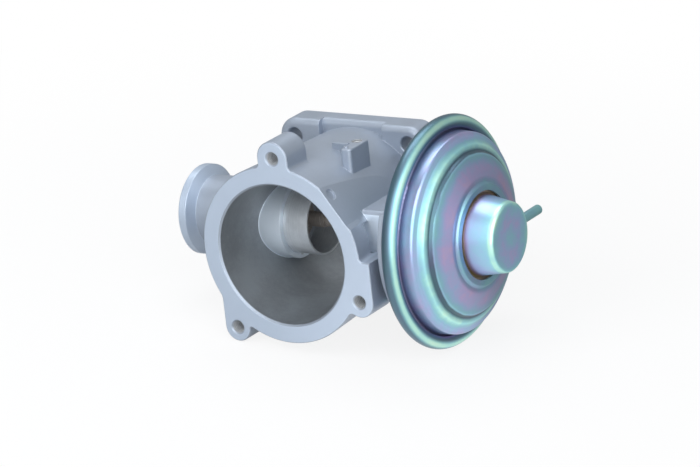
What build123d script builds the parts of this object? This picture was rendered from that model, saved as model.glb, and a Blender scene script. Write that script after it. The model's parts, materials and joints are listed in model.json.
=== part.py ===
"""Vacuum-operated exhaust gas recirculation valve for a diesel engine, in millimetres.

A cast aluminium throat carries intake air from a hose flange with three ears (facing -Y) to a
square manifold plate (facing +Y).  Exhaust gas enters at the clamp stub on the left (-X), meets a
poppet valve inside the throat, and mixes with the air.  The valve stem runs along X to a vacuum
can on the right: vacuum in the can pulls the diaphragm, and with it the stem, towards +X.

The origin is the centre of the throat on the manifold face.  +X runs along the valve stem towards
the can, +Y points out of the manifold face, and +Z is up.
"""
from build123d import *
import os
from math import cos, radians, sin

# Throat: the air duct along Y
THROAT_R = 29.0             # machined register at the intake
THROAT_TAPER = 2.2          # the bore is narrower at the manifold by this radius
FRONT_REGISTER = 10.0
REAR_REGISTER = 8.0
THROAT_LENGTH = 69.4
RIM_WALL = 7.7              # width of the machined ring round the intake mouth
DUCT_WALL = 5.1             # cast wall where the duct meets the manifold plate
VALVE_SETBACK = 26.0        # manifold face to valve axis
MOUTH_CHAMFER = 0.8

# Ears of the intake flange: each hole's direction from the throat axis (from +X towards +Z), how
# far its centre stands outside the throat wall, and the radius of the ear's end
TOP_EAR_ANGLE = 88.6
TOP_EAR_STAND = 11.0
TOP_EAR_R = 7.0
LEFT_EAR_ANGLE = 232.5
LEFT_EAR_STAND = 11.9
LEFT_EAR_R = 5.9
RIGHT_EAR_ANGLE = -25.2
RIGHT_EAR_STAND = 9.25
RIGHT_EAR_R = 6.4
RIGHT_EAR_TOP = 0.3         # height of the ledge on top of the right ear
EAR_DEPTH = 14.0
EAR_ROOT_R = 2.0            # inside corners between the ears and the ring
LEFT_EAR_OUTER_ROOT_R = 5.0
LEFT_EAR_INNER_ROOT_R = 0.7
FLANGE_EDGE_R = 0.6
EAR_THREAD_R = 2.55
EAR_THREAD_CHAMFER = 0.6

# Milled relief in the intake flange, beside the neck
RELIEF_ANGLE = 36.5
RELIEF_WALL = 6.0           # what is left of the ring there
RELIEF_LEDGE_Z = 15.2
RELIEF_LEDGE_SLOPE = 45.0
FLANGE_T = 9.2              # intake flange, front face to where the ledge ends
POCKET_DEPTH = 3.2          # pocket behind the flange, above the right ear
POCKET_W = 4.2              # flange's back to where the neck starts
POCKET_TOP_Z = 13.0
SPOT_R = 2.3                # shallow drilled spot in the relief's flat
SPOT_DEPTH = 0.8
SPOT_ALONG = 6.6
SPOT_BACK = 4.2             # intake face to the spot's centre

# Manifold plate
BOLT_SPACING_X = 54.0
BOLT_SPACING_Z = 59.2
BOLT_EDGE_X = 7.8           # bolt centre to the plate's edge
BOLT_EDGE_Z = 7.2
PLATE_T = 8.5
PLATE_CORNER_R = 8.0
PLATE_EDGE_R = 2.5
PAD_PROUD = 3.0             # corner pads stand this far in front of the plate's web
PAD_W = 19.8
PAD_H = 15.0
BOLT_HOLE_R = 3.3
BOLT_HOLE_CHAMFER = 0.5
SEAL_GROOVE_INSET = 2.6     # throat wall to the middle of the face seal's groove
SEAL_GROOVE_W = 2.4
SEAL_GROOVE_DEPTH = 1.8
SEAL_SIDE_GAP = 0.1

# Exhaust gas stub with its clamp flange, on the left
STUB_REACH = 37.5           # throat wall to clamp face
STUB_BORE_R = 12.0
STUB_WALL = 2.4
STUB_FLANGE_PROUD = 4.2
STUB_FLANGE_BAND = 3.7
STUB_CONE_LENGTH = 2.3
STUB_EDGE = 0.6
STUB_ROOT_FLARE = 4.2
STUB_ROOT_LENGTH = 9.0
STUB_ROOT_INSET = 4.0       # the flare ends this far outside the throat bore

# Valve seat: steel insert pressed into the inner boss
INSERT_SHOULDER = 2.2       # insert's outside beyond the stub's bore
INSERT_INSET = 2.0          # how far it reaches into the throat wall
INSERT_PROUD = 11.5         # how far the sleeve stands out of the boss
INSERT_WALL = 0.8
BOSS_WALL = 2.3
BOSS_REACH = 11.0           # throat wall to boss face
PRESS_GAP = 0.02
SEAT_LEDGE = 3.2            # stub's bore to the narrowest part of the seat
SEAT_LAND = 3.0
SEAT_CONE = 1.3
SEAT_POCKET = 13.5          # sleeve mouth to the top of the seat
LOCK_PIN_R = 0.8            # pin driven half into the boss, half into the insert
LOCK_PIN_LENGTH = 5.0
LOCK_PIN_PROUD = 0.6
LOCK_PIN_ANGLE = 256.0      # from +Y towards +Z, about the valve axis

# Valve disc, stem and guide
DISC_OVERLAP = 1.2          # disc's edge beyond the narrowest part of the seat
DISC_T = 3.0
SEAT_GAP = 0.15
STEM_R = 2.5
STEM_SPIGOT_R = 2.0         # where the disc and the diaphragm stack sit
HUB_R = 3.1
HUB_LENGTH = 10.6
COLLAR_R = 2.8
COLLAR_T = 1.7
GROOVE_R = 2.0
GROOVE_W = 0.8
PEEN_R = 3.6
PEEN_T = 1.6
RUNNING_GAP = 0.03
SLIP_GAP = 0.05
GUIDE_R = 5.5
GUIDE_PROUD = 1.5
GUIDE_BOSS_WALL = 3.5
GUIDE_BOSS_REACH = 7.0      # throat wall to the guide boss's face
SEAL_R = 8.0
SEAL_T = 3.0
RETAINER_T = 1.2
RETAINER_GAP = 1.5          # stem to the retainer's lip
RETAINER_LIP = 1.6
CLIP_GRIP = 0.7             # how deep the snap ring over the retainer sits in its groove
CLIP_T = 1.0
CLIP_W = 1.9
CLIP_GAP_W = 3.8            # opening of the snap ring
CLIP_SETBACK = 0.3          # can pad's face to the snap ring

# Neck and actuator pad, on the right
NECK_FRONT = 30.0           # valve axis to the neck's front face
NECK_BACK = 22.0
NECK_HALF_H = 16.9
NECK_EDGE_R = 2.0
NECK_LENGTH = 16.5          # throat wall to the face that carries the can
CAN_PAD_T = 2.5
CAN_PAD_MARGIN = 2.0        # pad's round end beyond the back shell's flat
CAN_PAD_LEDGE = 1.1         # pad's straight sides beyond the neck
CAN_PAD_BACK = 25.0
CAN_SCREW_COUNT = 3
CAN_SCREW_MARGIN = 0.6      # screw's head to the back shell's centre hole
SCREW_R = 2.4
SCREW_LENGTH = 11.0
SCREW_HEAD_R = 4.6
SCREW_HEAD_T = 2.5
SCREW_RECESS_R = 1.6
SCREW_RECESS_DEPTH = 1.4

# Bracket post on the duct's shoulder
POST_X = 19.8
POST_T = 4.8
POST_FRONT = 20.0           # valve axis to the post's front face
POST_L = 14.7
POST_STAND = 9.0            # throat wall to the post's top
POST_CORNER_R = 1.5
POST_EDGE_R = 0.6
POST_STEP_W = 10.1
POST_STEP_L = 5.0
POST_STEP_DROP = 1.0
POST_HOLE_R = 2.1
POST_HOLE_DEPTH = 9.0
POST_EYE_R = 3.6
POST_EYE_INSET = 1.2        # post's left face to the middle of the eye
POST_NUB_R = 0.9            # locating nub on the post's top
POST_NUB_H = 0.6
POST_NUB_INSET = 1.6
POST_NUB_SETBACK = 2.4

# Vacuum can: sheet steel, turned about the valve axis
GASKET_T = 0.6
SHEET = 1.2
CENTRE_HOLE_GAP = 1.1       # snap ring to the edge of the back shell's centre hole
RIM_R = 46.8
RIM_TUBE_R = 3.1            # rolled rim, outside radius of its section
RIM_STAND = 5.1             # back shell's outside to the middle of the rolled rim
RIM_ROLL_ANGLE = 225.0      # how far the edge is rolled round
BACK_SLOPE_W = 6.2          # middle of the rolled rim in to the back shell's flat
BACK_BEND_R = 4.8
BACK_BEND_ANGLE = 40.0
VENT_R = 2.6
VENT_CIRCLE_R = 27.0
VENT_TILT = 90.0

# Front cover: heights from the front of the flange that the rim grips, insets from the wall's foot
COVER_SHEET = 1.0
COVER_FLANGE_STAND = 1.3    # middle of the rolled rim to the flange's front
COVER_FLANGE_GRIP = 0.7     # flange's edge outside the middle of the rolled rim
COVER_SHOULDER_H = 6.5
COVER_SHOULDER_INSET = 0.4
COVER_CREASE_H = 7.4
COVER_CREASE_INSET = 2.8
COVER_STEP_H = 9.3
COVER_STEP_INSET = 5.2
COVER_GROOVE_H = 10.0
COVER_GROOVE_INSET = 7.6
COVER_EDGE_H = 11.4         # outer edge of the dished face
COVER_EDGE_INSET = 8.3
COVER_FACE_H = 14.7         # flat ring that the spring cup's flange is welded under
COVER_FACE_MARGIN = 0.7     # cup's flange to the outer edge of that ring
COVER_COLLAR_H = 1.1
COVER_COLLAR_W = 2.4
COVER_COLLAR_SLOPE = 0.8
COVER_HOLE_GAP = 0.1        # cup's bend to the edge of the cover's hole
COVER_BENDS = [0.6, 0.7, 4.0, 0.7, 0.7, 1.6, 0.9, 1.3, 1.3]

# Spring cup in the middle of the cover
CUP_SHEET = 1.0
CUP_H = 27.2                # front of the cover's gripped flange to the cup's end
CUP_TAPER = 2.4             # the base is wider than the end by this radius
CUP_FLANGE_W = 1.3          # flange beyond the foot of the cover's collar
CUP_EDGE_R = 1.3
CUP_BASE_BEND = 1.3

# Vacuum nipple on the back of the cup, measured out from the radius of the cup's end
NIPPLE_SETBACK = 6.7        # cup's end to the nipple's axis
NIPPLE_R = 2.0
NIPPLE_BORE_R = 1.1
NIPPLE_LENGTH = 20.0
NIPPLE_ROOT = 0.8           # how far the tube reaches inwards
NIPPLE_TIP = 0.6
NIPPLE_COLLAR_R = 3.0
NIPPLE_COLLAR_H = 2.4

# Diaphragm stack on the stem
STACK_GAP = 0.3             # back shell to the lower plate
PLATE_SHEET = 1.0
RUBBER = 1.2
ROLL_GAP = 0.2              # cover's inside to the diaphragm's roll
ROLL_W = 8.9                # width of the free part of the diaphragm
ROLL_BEND = 3.0
LOWER_PLATE_INSET = 1.5     # inner edge of the roll in to the lower plate's edge
UPPER_PLATE_INSET = 2.5
UPPER_PLATE_LIP = 4.0
WASHER_T = 1.2
WASHER_GAP = 0.35           # washer's edge to the inside of the spring
NUT_FLATS = 7.0
NUT_T = 3.2
STEM_TIP = 1.0

# Return spring and its upper seat
SPRING_MEAN_R = 10.6
SPRING_WIRE_R = 0.95
SPRING_COILS = 6.0
SPRING_END_GAP = 0.1
SPRING_SEAT_MARGIN = 0.75   # seat's edge beyond the spring
SPRING_SEAT_GAP = 0.7       # seat's edge to the inside of the cup
SPRING_SEAT_T = 1.3
SPRING_SEAT_PILOT_GAP = 1.05
SPRING_SEAT_PILOT_T = 3.0
SPRING_SEAT_HOLE_R = 3.0


def ear_place(angle, stand):
    """Centre (x, z) of an ear's hole."""
    reach = THROAT_R + stand
    return reach * cos(radians(angle)), reach * sin(radians(angle))


# Places that follow from the sizes above
VALVE_Y = -VALVE_SETBACK
FRONT_Y = -THROAT_LENGTH
TOP_EAR = ear_place(TOP_EAR_ANGLE, TOP_EAR_STAND)
LEFT_EAR = ear_place(LEFT_EAR_ANGLE, LEFT_EAR_STAND)
RIGHT_EAR = ear_place(RIGHT_EAR_ANGLE, RIGHT_EAR_STAND)
PLATE_W = BOLT_SPACING_X + 2 * BOLT_EDGE_X
PLATE_H = BOLT_SPACING_Z + 2 * BOLT_EDGE_Z
PLATE_FRONT_Y = -PLATE_T
PAD_FRONT_Y = PLATE_FRONT_Y - PAD_PROUD
REAR_THROAT_R = THROAT_R - THROAT_TAPER
FRONT_RIM_R = THROAT_R + RIM_WALL
REAR_RIM_R = THROAT_R + DUCT_WALL
SEAL_GROOVE_R = THROAT_R + SEAL_GROOVE_INSET
POST_TOP_Z = THROAT_R + POST_STAND
CLAMP_FACE_X = -THROAT_R - STUB_REACH
STUB_NECK_R = STUB_BORE_R + STUB_WALL
STUB_FLANGE_R = STUB_NECK_R + STUB_FLANGE_PROUD
INSERT_R = STUB_BORE_R + INSERT_SHOULDER
SEAT_R = STUB_BORE_R - SEAT_LEDGE
DISC_R = SEAT_R + DISC_OVERLAP
BOSS_FACE_X = -THROAT_R + BOSS_REACH
INSERT_START_X = -THROAT_R - INSERT_INSET
INSERT_END_X = BOSS_FACE_X + INSERT_PROUD
SEAT_TOP_X = INSERT_END_X - SEAT_POCKET
DISC_BACK_X = SEAT_TOP_X - SEAT_CONE + SEAT_GAP
DISC_FRONT_X = DISC_BACK_X + DISC_T
PAD_X = THROAT_R + NECK_LENGTH
CLIP_X = PAD_X - CLIP_SETBACK - CLIP_T
RETAINER_X = CLIP_X - RETAINER_T
GUIDE_END_X = RETAINER_X - SEAL_T
GUIDE_BOSS_X = THROAT_R - GUIDE_BOSS_REACH
GUIDE_START_X = GUIDE_BOSS_X - GUIDE_PROUD
GUIDE_BOSS_R = GUIDE_R + GUIDE_BOSS_WALL
RETAINER_BORE_R = STEM_R + RETAINER_GAP
CLIP_R = SEAL_R + CLIP_GRIP
CAN_CENTRE_HOLE_R = CLIP_R + CENTRE_HOLE_GAP
CAN_SCREW_CIRCLE_R = CAN_CENTRE_HOLE_R + CAN_SCREW_MARGIN + SCREW_HEAD_R
BACK_OUT_X = PAD_X + GASKET_T
BACK_IN_X = BACK_OUT_X + SHEET
LOWER_PLATE_X = BACK_IN_X + STACK_GAP
RUBBER_X = LOWER_PLATE_X + PLATE_SHEET
UPPER_PLATE_X = RUBBER_X + RUBBER
WASHER_X = UPPER_PLATE_X + PLATE_SHEET
NUT_X = WASHER_X + WASHER_T
STEM_END_X = NUT_X + NUT_T + STEM_TIP
RIM_X = BACK_OUT_X + RIM_STAND
RIM_CENTRE_R = RIM_R - RIM_TUBE_R
BACK_FLAT_R = RIM_CENTRE_R - BACK_SLOPE_W
CAN_PAD_R = BACK_FLAT_R + CAN_PAD_MARGIN
CAN_PAD_HALF_H = NECK_HALF_H + CAN_PAD_LEDGE
COVER_FLANGE_X = RIM_X + COVER_FLANGE_STAND
COVER_FLANGE_R = RIM_CENTRE_R + COVER_FLANGE_GRIP
COVER_FOOT_R = RIM_CENTRE_R - RIM_TUBE_R
COVER_FACE_X = COVER_FLANGE_X + COVER_FACE_H
CLAMP_X = COVER_FLANGE_X - COVER_SHEET
BEAD_TUBE_R = (CLAMP_X - (RIM_X - RIM_TUBE_R + SHEET)) / 2
ROLL_OUTER_R = COVER_FOOT_R - COVER_SHEET - ROLL_GAP
ROLL_INNER_R = ROLL_OUTER_R - ROLL_W
LOWER_PLATE_R = ROLL_INNER_R - LOWER_PLATE_INSET
UPPER_PLATE_R = ROLL_INNER_R - UPPER_PLATE_INSET
SPRING_INNER_R = SPRING_MEAN_R - SPRING_WIRE_R
WASHER_R = SPRING_INNER_R - WASHER_GAP
SPRING_SEAT_PILOT_R = SPRING_INNER_R - SPRING_SEAT_PILOT_GAP
SPRING_SEAT_R = SPRING_MEAN_R + SPRING_WIRE_R + SPRING_SEAT_MARGIN
CUP_END_R = SPRING_SEAT_R + SPRING_SEAT_GAP + CUP_SHEET
CUP_BASE_R = CUP_END_R + CUP_TAPER
COVER_HOLE_R = CUP_BASE_R + CUP_BASE_BEND + COVER_HOLE_GAP
COVER_COLLAR_R = COVER_HOLE_R + COVER_COLLAR_W
COVER_COLLAR_FOOT_R = COVER_COLLAR_R + COVER_COLLAR_SLOPE
CUP_FLANGE_R = COVER_COLLAR_FOOT_R + CUP_FLANGE_W
COVER_FACE_R = CUP_FLANGE_R + COVER_FACE_MARGIN
CUP_END_X = COVER_FLANGE_X + CUP_H
CUP_FLANGE_X = COVER_FACE_X - COVER_SHEET
SPRING_SEAT_X = CUP_END_X - CUP_SHEET
NIPPLE_X = CUP_END_X - NIPPLE_SETBACK
NIPPLE_TIP_Y = VALVE_Y + CUP_END_R + NIPPLE_LENGTH


def turned(outline):
    """Revolves a closed outline of (x, radius) points about the valve axis."""
    face = make_face(Polyline(*outline, close=True))
    return Pos(0, VALVE_Y, 0) * revolve(face, Axis.X)


def turned_sheet(points, radii, thickness):
    """Revolves a sheet of even thickness: points and bend radii give its outer side, walked outwards."""
    outer = FilletPolyline(*points, radius=radii)
    return Pos(0, VALVE_Y, 0) * revolve(make_face(offset(outer, thickness, side=Side.LEFT)), Axis.X)


def rod_x(radius, start, end, y=0.0, z=0.0):
    """Cylinder along X, placed from the valve axis."""
    solid = Cylinder(radius, end - start, rotation=(0, 90, 0))
    return Pos((start + end) / 2, VALVE_Y + y, z) * solid


def rod_y(radius, start, end, x=0.0, z=0.0):
    """Cylinder along Y between two Y values."""
    solid = Cylinder(radius, end - start, rotation=(90, 0, 0))
    return Pos(x, (start + end) / 2, z) * solid


def block(x0, x1, y0, y1, z0, z1):
    """Box between two corners."""
    return Pos((x0 + x1) / 2, (y0 + y1) / 2, (z0 + z1) / 2) * Box(x1 - x0, y1 - y0, z1 - z0)


def bolt_places():
    """Centres (x, z) of the manifold plate's four holes."""
    return [(sx * BOLT_SPACING_X / 2, sz * BOLT_SPACING_Z / 2) for sx in (-1, 1) for sz in (-1, 1)]


def can_screw_places():
    """Centres (y, z) of the can's screws, from the valve axis; the first is towards the intake."""
    step = 360 / CAN_SCREW_COUNT
    angles = [radians(180 + step * i) for i in range(CAN_SCREW_COUNT)]
    return [(CAN_SCREW_CIRCLE_R * cos(a), CAN_SCREW_CIRCLE_R * sin(a)) for a in angles]


def ear(centre, radius, root_z):
    """Vertical-sided lug of the intake flange, from its round end to root_z inside the ring."""
    x, z = centre
    low, high = sorted((z, root_z))
    lug = block(x - radius, x + radius, FRONT_Y, FRONT_Y + EAR_DEPTH, low, high)
    return lug + rod_y(radius, FRONT_Y, FRONT_Y + EAR_DEPTH, x, z)


def round_root(solid, x, z, radius):
    """Rounds the inside corner that runs back along an ear nearest to a point on the ring."""
    curved = solid.edges().filter_by(lambda edge: edge.geom_type not in (GeomType.LINE, GeomType.CIRCLE))
    return fillet(curved.sort_by_distance((x, FRONT_Y + EAR_DEPTH / 2, z))[0], radius)


def duct_outside():
    """The tapered duct as a solid plug, with the three ears of the intake flange."""
    outline = Polyline(
        (0, FRONT_Y),
        (FRONT_RIM_R, FRONT_Y),
        (REAR_RIM_R, PLATE_FRONT_Y),
        (REAR_RIM_R, 0),
        (0, 0),
        close=True,
    )
    solid = revolve(make_face(outline), Axis.Y)
    solid += ear(TOP_EAR, TOP_EAR_R, THROAT_R)
    solid += ear(LEFT_EAR, LEFT_EAR_R, LEFT_EAR[1] / 2)
    solid += ear(RIGHT_EAR, RIGHT_EAR_R, RIGHT_EAR_TOP)
    solid = round_root(solid, TOP_EAR[0] + TOP_EAR_R, FRONT_RIM_R, EAR_ROOT_R)
    solid = round_root(solid, TOP_EAR[0] - TOP_EAR_R, FRONT_RIM_R, EAR_ROOT_R)
    solid = round_root(solid, LEFT_EAR[0] - LEFT_EAR_R, LEFT_EAR[1] + 2 * LEFT_EAR_R, LEFT_EAR_OUTER_ROOT_R)
    solid = round_root(solid, LEFT_EAR[0] + LEFT_EAR_R, LEFT_EAR[1], LEFT_EAR_INNER_ROOT_R)
    solid = round_root(solid, RIGHT_EAR[0] - RIGHT_EAR_R, RIGHT_EAR[1] - RIGHT_EAR_R, EAR_ROOT_R)
    solid = round_root(solid, FRONT_RIM_R, RIGHT_EAR_TOP, EAR_ROOT_R)
    front = solid.faces().sort_by(Axis.Y)[0]
    return fillet(front.edges(), FLANGE_EDGE_R)


def relief():
    """Cutter for the flat along the duct's shoulder. In the flange it ends at a sloping ledge."""
    reach = FRONT_RIM_R
    flat = THROAT_R + RELIEF_WALL
    tool = Pos(flat + reach / 2, FRONT_Y / 2, 0) * Box(reach, THROAT_LENGTH, 2 * reach)
    tool = Rot(0, -RELIEF_ANGLE, 0) * tool
    below_ledge = Pos(0, FRONT_Y + FLANGE_T / 2, -reach) * Box(4 * reach, FLANGE_T, 2 * reach)
    ledge_x = (flat - RELIEF_LEDGE_Z * sin(radians(RELIEF_ANGLE))) / cos(radians(RELIEF_ANGLE))
    return tool - Pos(ledge_x, 0, RELIEF_LEDGE_Z) * Rot(0, RELIEF_LEDGE_SLOPE, 0) * below_ledge


def flange_pocket():
    """Cutter for the pocket between the flange's back and the neck, down to the right ear."""
    start = FRONT_Y + FLANGE_T
    end = start + POCKET_W
    groove = rod_y(FRONT_RIM_R, start, end) - rod_y(FRONT_RIM_R - POCKET_DEPTH, start, end)
    return groove & block(0, FRONT_RIM_R, start, end, RIGHT_EAR_TOP, POCKET_TOP_Z)


def relief_spot():
    """Shallow drilled spot in the relief's flat."""
    x = THROAT_R + RELIEF_WALL - SPOT_DEPTH / 2
    spot = Pos(x, FRONT_Y + SPOT_BACK, SPOT_ALONG) * Cylinder(SPOT_R, SPOT_DEPTH, rotation=(0, 90, 0))
    return Rot(0, -RELIEF_ANGLE, 0) * spot


def manifold_plate():
    """Rear plate with four corner pads that stand proud of its web."""
    web = Plane.XZ * RectangleRounded(PLATE_W, PLATE_H, PLATE_CORNER_R)
    plate = extrude(web, PLATE_T)
    front = plate.faces().sort_by(Axis.Y)[0]
    plate = fillet(front.edges(), PLATE_EDGE_R)
    outline = extrude(web, PLATE_T + PAD_PROUD)
    front = outline.faces().sort_by(Axis.Y)[0]
    outline = fillet(front.edges(), PLATE_EDGE_R)
    for x in (-1, 1):
        for z in (-1, 1):
            centre = Pos(x * (PLATE_W - PAD_W) / 2, PAD_FRONT_Y / 2, z * (PLATE_H - PAD_H) / 2)
            plate += outline & (centre * Box(PAD_W, -PAD_FRONT_Y, PAD_H))
    return plate


def stub_outside():
    """Exhaust gas stub with its clamp flange, as a solid of revolution about the valve axis."""
    face_x = CLAMP_FACE_X
    band_x = face_x + STUB_FLANGE_BAND
    root_x = -THROAT_R - STUB_ROOT_INSET
    return turned([
        (face_x, 0),
        (face_x, STUB_FLANGE_R - STUB_EDGE),
        (face_x + STUB_EDGE, STUB_FLANGE_R),
        (band_x, STUB_FLANGE_R),
        (band_x + STUB_CONE_LENGTH, STUB_NECK_R),
        (root_x - STUB_ROOT_LENGTH, STUB_NECK_R),
        (root_x, STUB_NECK_R + STUB_ROOT_FLARE),
        (root_x, 0),
    ])


def neck():
    """Block between the duct and the can, ending in the truncated round pad that carries the can."""
    solid = block(
        THROAT_R - DUCT_WALL,
        PAD_X - CAN_PAD_T,
        VALVE_Y - NECK_FRONT,
        VALVE_Y + NECK_BACK,
        -NECK_HALF_H,
        NECK_HALF_H,
    )
    solid = fillet(solid.edges().filter_by(Axis.X), NECK_EDGE_R)
    disc = rod_x(CAN_PAD_R, PAD_X - CAN_PAD_T, PAD_X)
    window = block(
        0,
        PAD_X,
        VALVE_Y - CAN_PAD_R,
        VALVE_Y + CAN_PAD_BACK,
        -CAN_PAD_HALF_H,
        CAN_PAD_HALF_H,
    )
    return solid + (disc & window)


def bracket_post():
    """Post on the duct's shoulder with a lower step beside it, a nub and a threaded eye."""
    front_y = VALVE_Y - POST_FRONT
    back_y = front_y + POST_L
    half = POST_T / 2
    solid = block(POST_X - half, POST_X + half, front_y, back_y, 0, POST_TOP_Z)
    solid = fillet(solid.edges().filter_by(Axis.Z), POST_CORNER_R)
    solid = fillet(solid.faces().sort_by(Axis.Z)[-1].edges(), POST_EDGE_R)
    step_top = POST_TOP_Z - POST_STEP_DROP
    step = block(POST_X - half - POST_STEP_W, POST_X, back_y - POST_STEP_L, back_y, 0, step_top)
    step = fillet(step.edges().filter_by(Axis.Z), POST_EDGE_R)
    solid += fillet(step.faces().sort_by(Axis.Z)[-1].edges(), POST_EDGE_R / 2)
    nub = Cylinder(POST_NUB_R, 2 * POST_NUB_H)
    solid += Pos(POST_X - half + POST_NUB_INSET, front_y + POST_NUB_SETBACK, POST_TOP_Z) * nub
    eye_x, eye_y = post_eye_place()
    return solid + Pos(eye_x, eye_y, POST_TOP_Z / 2) * Cylinder(POST_EYE_R, POST_TOP_Z)


def post_eye_place():
    """Centre (x, y) of the post's eye."""
    return POST_X - POST_T / 2 + POST_EYE_INSET, VALVE_Y - POST_FRONT + POST_L - POST_EYE_R


def post_hole():
    """Blind hole down the post's eye."""
    x, y = post_eye_place()
    return Pos(x, y, POST_TOP_Z - POST_HOLE_DEPTH / 2) * Cylinder(POST_HOLE_R, POST_HOLE_DEPTH)


def threaded_ear_hole(centre):
    """Hole through an ear, with the countersink at its mouth."""
    x, z = centre
    hole = rod_y(EAR_THREAD_R, FRONT_Y, FRONT_Y + EAR_DEPTH, x, z)
    mouth = Cone(EAR_THREAD_R, EAR_THREAD_R + EAR_THREAD_CHAMFER, EAR_THREAD_CHAMFER, rotation=(90, 0, 0))
    return hole + Pos(x, FRONT_Y + EAR_THREAD_CHAMFER / 2, z) * mouth


def bolt_hole(x, z):
    """Hole through the manifold plate with a chamfer at its front."""
    mouth = Cone(BOLT_HOLE_R, BOLT_HOLE_R + BOLT_HOLE_CHAMFER, BOLT_HOLE_CHAMFER, rotation=(90, 0, 0))
    return rod_y(BOLT_HOLE_R, PAD_FRONT_Y, 0, x, z) + Pos(x, PAD_FRONT_Y + BOLT_HOLE_CHAMFER / 2, z) * mouth


def lock_pin():
    """Pin on the joint of boss and insert that stops the insert turning."""
    angle = radians(LOCK_PIN_ANGLE)
    y, z = INSERT_R * cos(angle), INSERT_R * sin(angle)
    start = BOSS_FACE_X + LOCK_PIN_PROUD - LOCK_PIN_LENGTH
    return rod_x(LOCK_PIN_R, start, BOSS_FACE_X + LOCK_PIN_PROUD, y, z)


def throat_bore():
    """The air way: machined registers at both ends and the core's draft between them."""
    wide = THROAT_R + MOUTH_CHAMFER
    outline = Polyline(
        (0, FRONT_Y),
        (wide, FRONT_Y),
        (THROAT_R, FRONT_Y + MOUTH_CHAMFER),
        (THROAT_R, FRONT_Y + FRONT_REGISTER),
        (REAR_THROAT_R, -REAR_REGISTER),
        (REAR_THROAT_R, 0),
        (0, 0),
        close=True,
    )
    return revolve(make_face(outline), Axis.Y)


def face_seal_groove():
    """Ring groove in the manifold face."""
    half = SEAL_GROOVE_W / 2
    ring = rod_y(SEAL_GROOVE_R + half, -SEAL_GROOVE_DEPTH, 0)
    return ring - rod_y(SEAL_GROOVE_R - half, -SEAL_GROOVE_DEPTH, 0)


def screw_tools():
    """Blind holes and countersinks for the screws that hold the can."""
    tools = []
    tip_x = BACK_IN_X - SCREW_LENGTH
    for y, z in can_screw_places():
        shank = rod_x(SCREW_R + PRESS_GAP, tip_x, BACK_IN_X, y, z)
        tools.append(shank + screw_head(y, z, PRESS_GAP))
    return tools


def screw_head(y, z, gap=0.0):
    """Countersunk head, grown by gap for its seat."""
    head = Cone(SCREW_R + gap, SCREW_HEAD_R + gap, SCREW_HEAD_T, rotation=(0, 90, 0))
    return Pos(BACK_IN_X - SCREW_HEAD_T / 2, VALVE_Y + y, z) * head


def housing():
    """The casting, with everything that is machined into it."""
    solid = duct_outside() - relief() - flange_pocket()
    solid += manifold_plate() + stub_outside() + neck() + bracket_post()
    solid -= throat_bore()
    solid += rod_x(INSERT_R + BOSS_WALL, INSERT_START_X, BOSS_FACE_X)
    solid += rod_x(GUIDE_BOSS_R, GUIDE_BOSS_X, THROAT_R + DUCT_WALL)
    solid -= relief_spot()
    solid -= rod_x(STUB_BORE_R, CLAMP_FACE_X, INSERT_START_X)
    solid -= rod_x(INSERT_R + PRESS_GAP, INSERT_START_X, BOSS_FACE_X)
    solid -= rod_x(GUIDE_R + PRESS_GAP, GUIDE_BOSS_X, GUIDE_END_X)
    solid -= rod_x(SEAL_R + PRESS_GAP, GUIDE_END_X, PAD_X)
    solid -= rod_x(CLIP_R + PRESS_GAP, CLIP_X, CLIP_X + CLIP_T)
    for centre in (TOP_EAR, LEFT_EAR, RIGHT_EAR):
        solid -= threaded_ear_hole(centre)
    for x, z in bolt_places():
        solid -= bolt_hole(x, z)
    for tool in screw_tools():
        solid -= tool
    solid -= face_seal_groove()
    solid -= lock_pin()
    return solid - post_hole()


def face_seal():
    """Rubber ring in the manifold face's groove, level with the face."""
    half = SEAL_GROOVE_W / 2 - SEAL_SIDE_GAP
    ring = rod_y(SEAL_GROOVE_R + half, -SEAL_GROOVE_DEPTH, 0)
    return ring - rod_y(SEAL_GROOVE_R - half, -SEAL_GROOVE_DEPTH, 0)


def seat_insert():
    """Steel insert: inlet bore, conical valve seat, and the thin sleeve that stands in the throat."""
    inner_r = INSERT_R - INSERT_WALL
    land_x = SEAT_TOP_X - SEAT_CONE - SEAT_LAND
    insert = turned([
        (INSERT_START_X, STUB_BORE_R),
        (INSERT_START_X, INSERT_R),
        (INSERT_END_X, INSERT_R),
        (INSERT_END_X, inner_r),
        (SEAT_TOP_X, inner_r),
        (SEAT_TOP_X, SEAT_R + SEAT_CONE),
        (SEAT_TOP_X - SEAT_CONE, SEAT_R),
        (land_x, SEAT_R),
    ])
    return insert - lock_pin()


def valve_disc():
    """Poppet disc with the cone that meets the seat."""
    cone_r = DISC_R - SEAT_CONE
    return turned([
        (DISC_BACK_X, STEM_SPIGOT_R + SLIP_GAP),
        (DISC_BACK_X, cone_r),
        (DISC_BACK_X + SEAT_CONE, DISC_R),
        (DISC_FRONT_X - SEAT_CONE / 2, DISC_R),
        (DISC_FRONT_X, cone_r),
        (DISC_FRONT_X, STEM_SPIGOT_R + SLIP_GAP),
    ])


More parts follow.
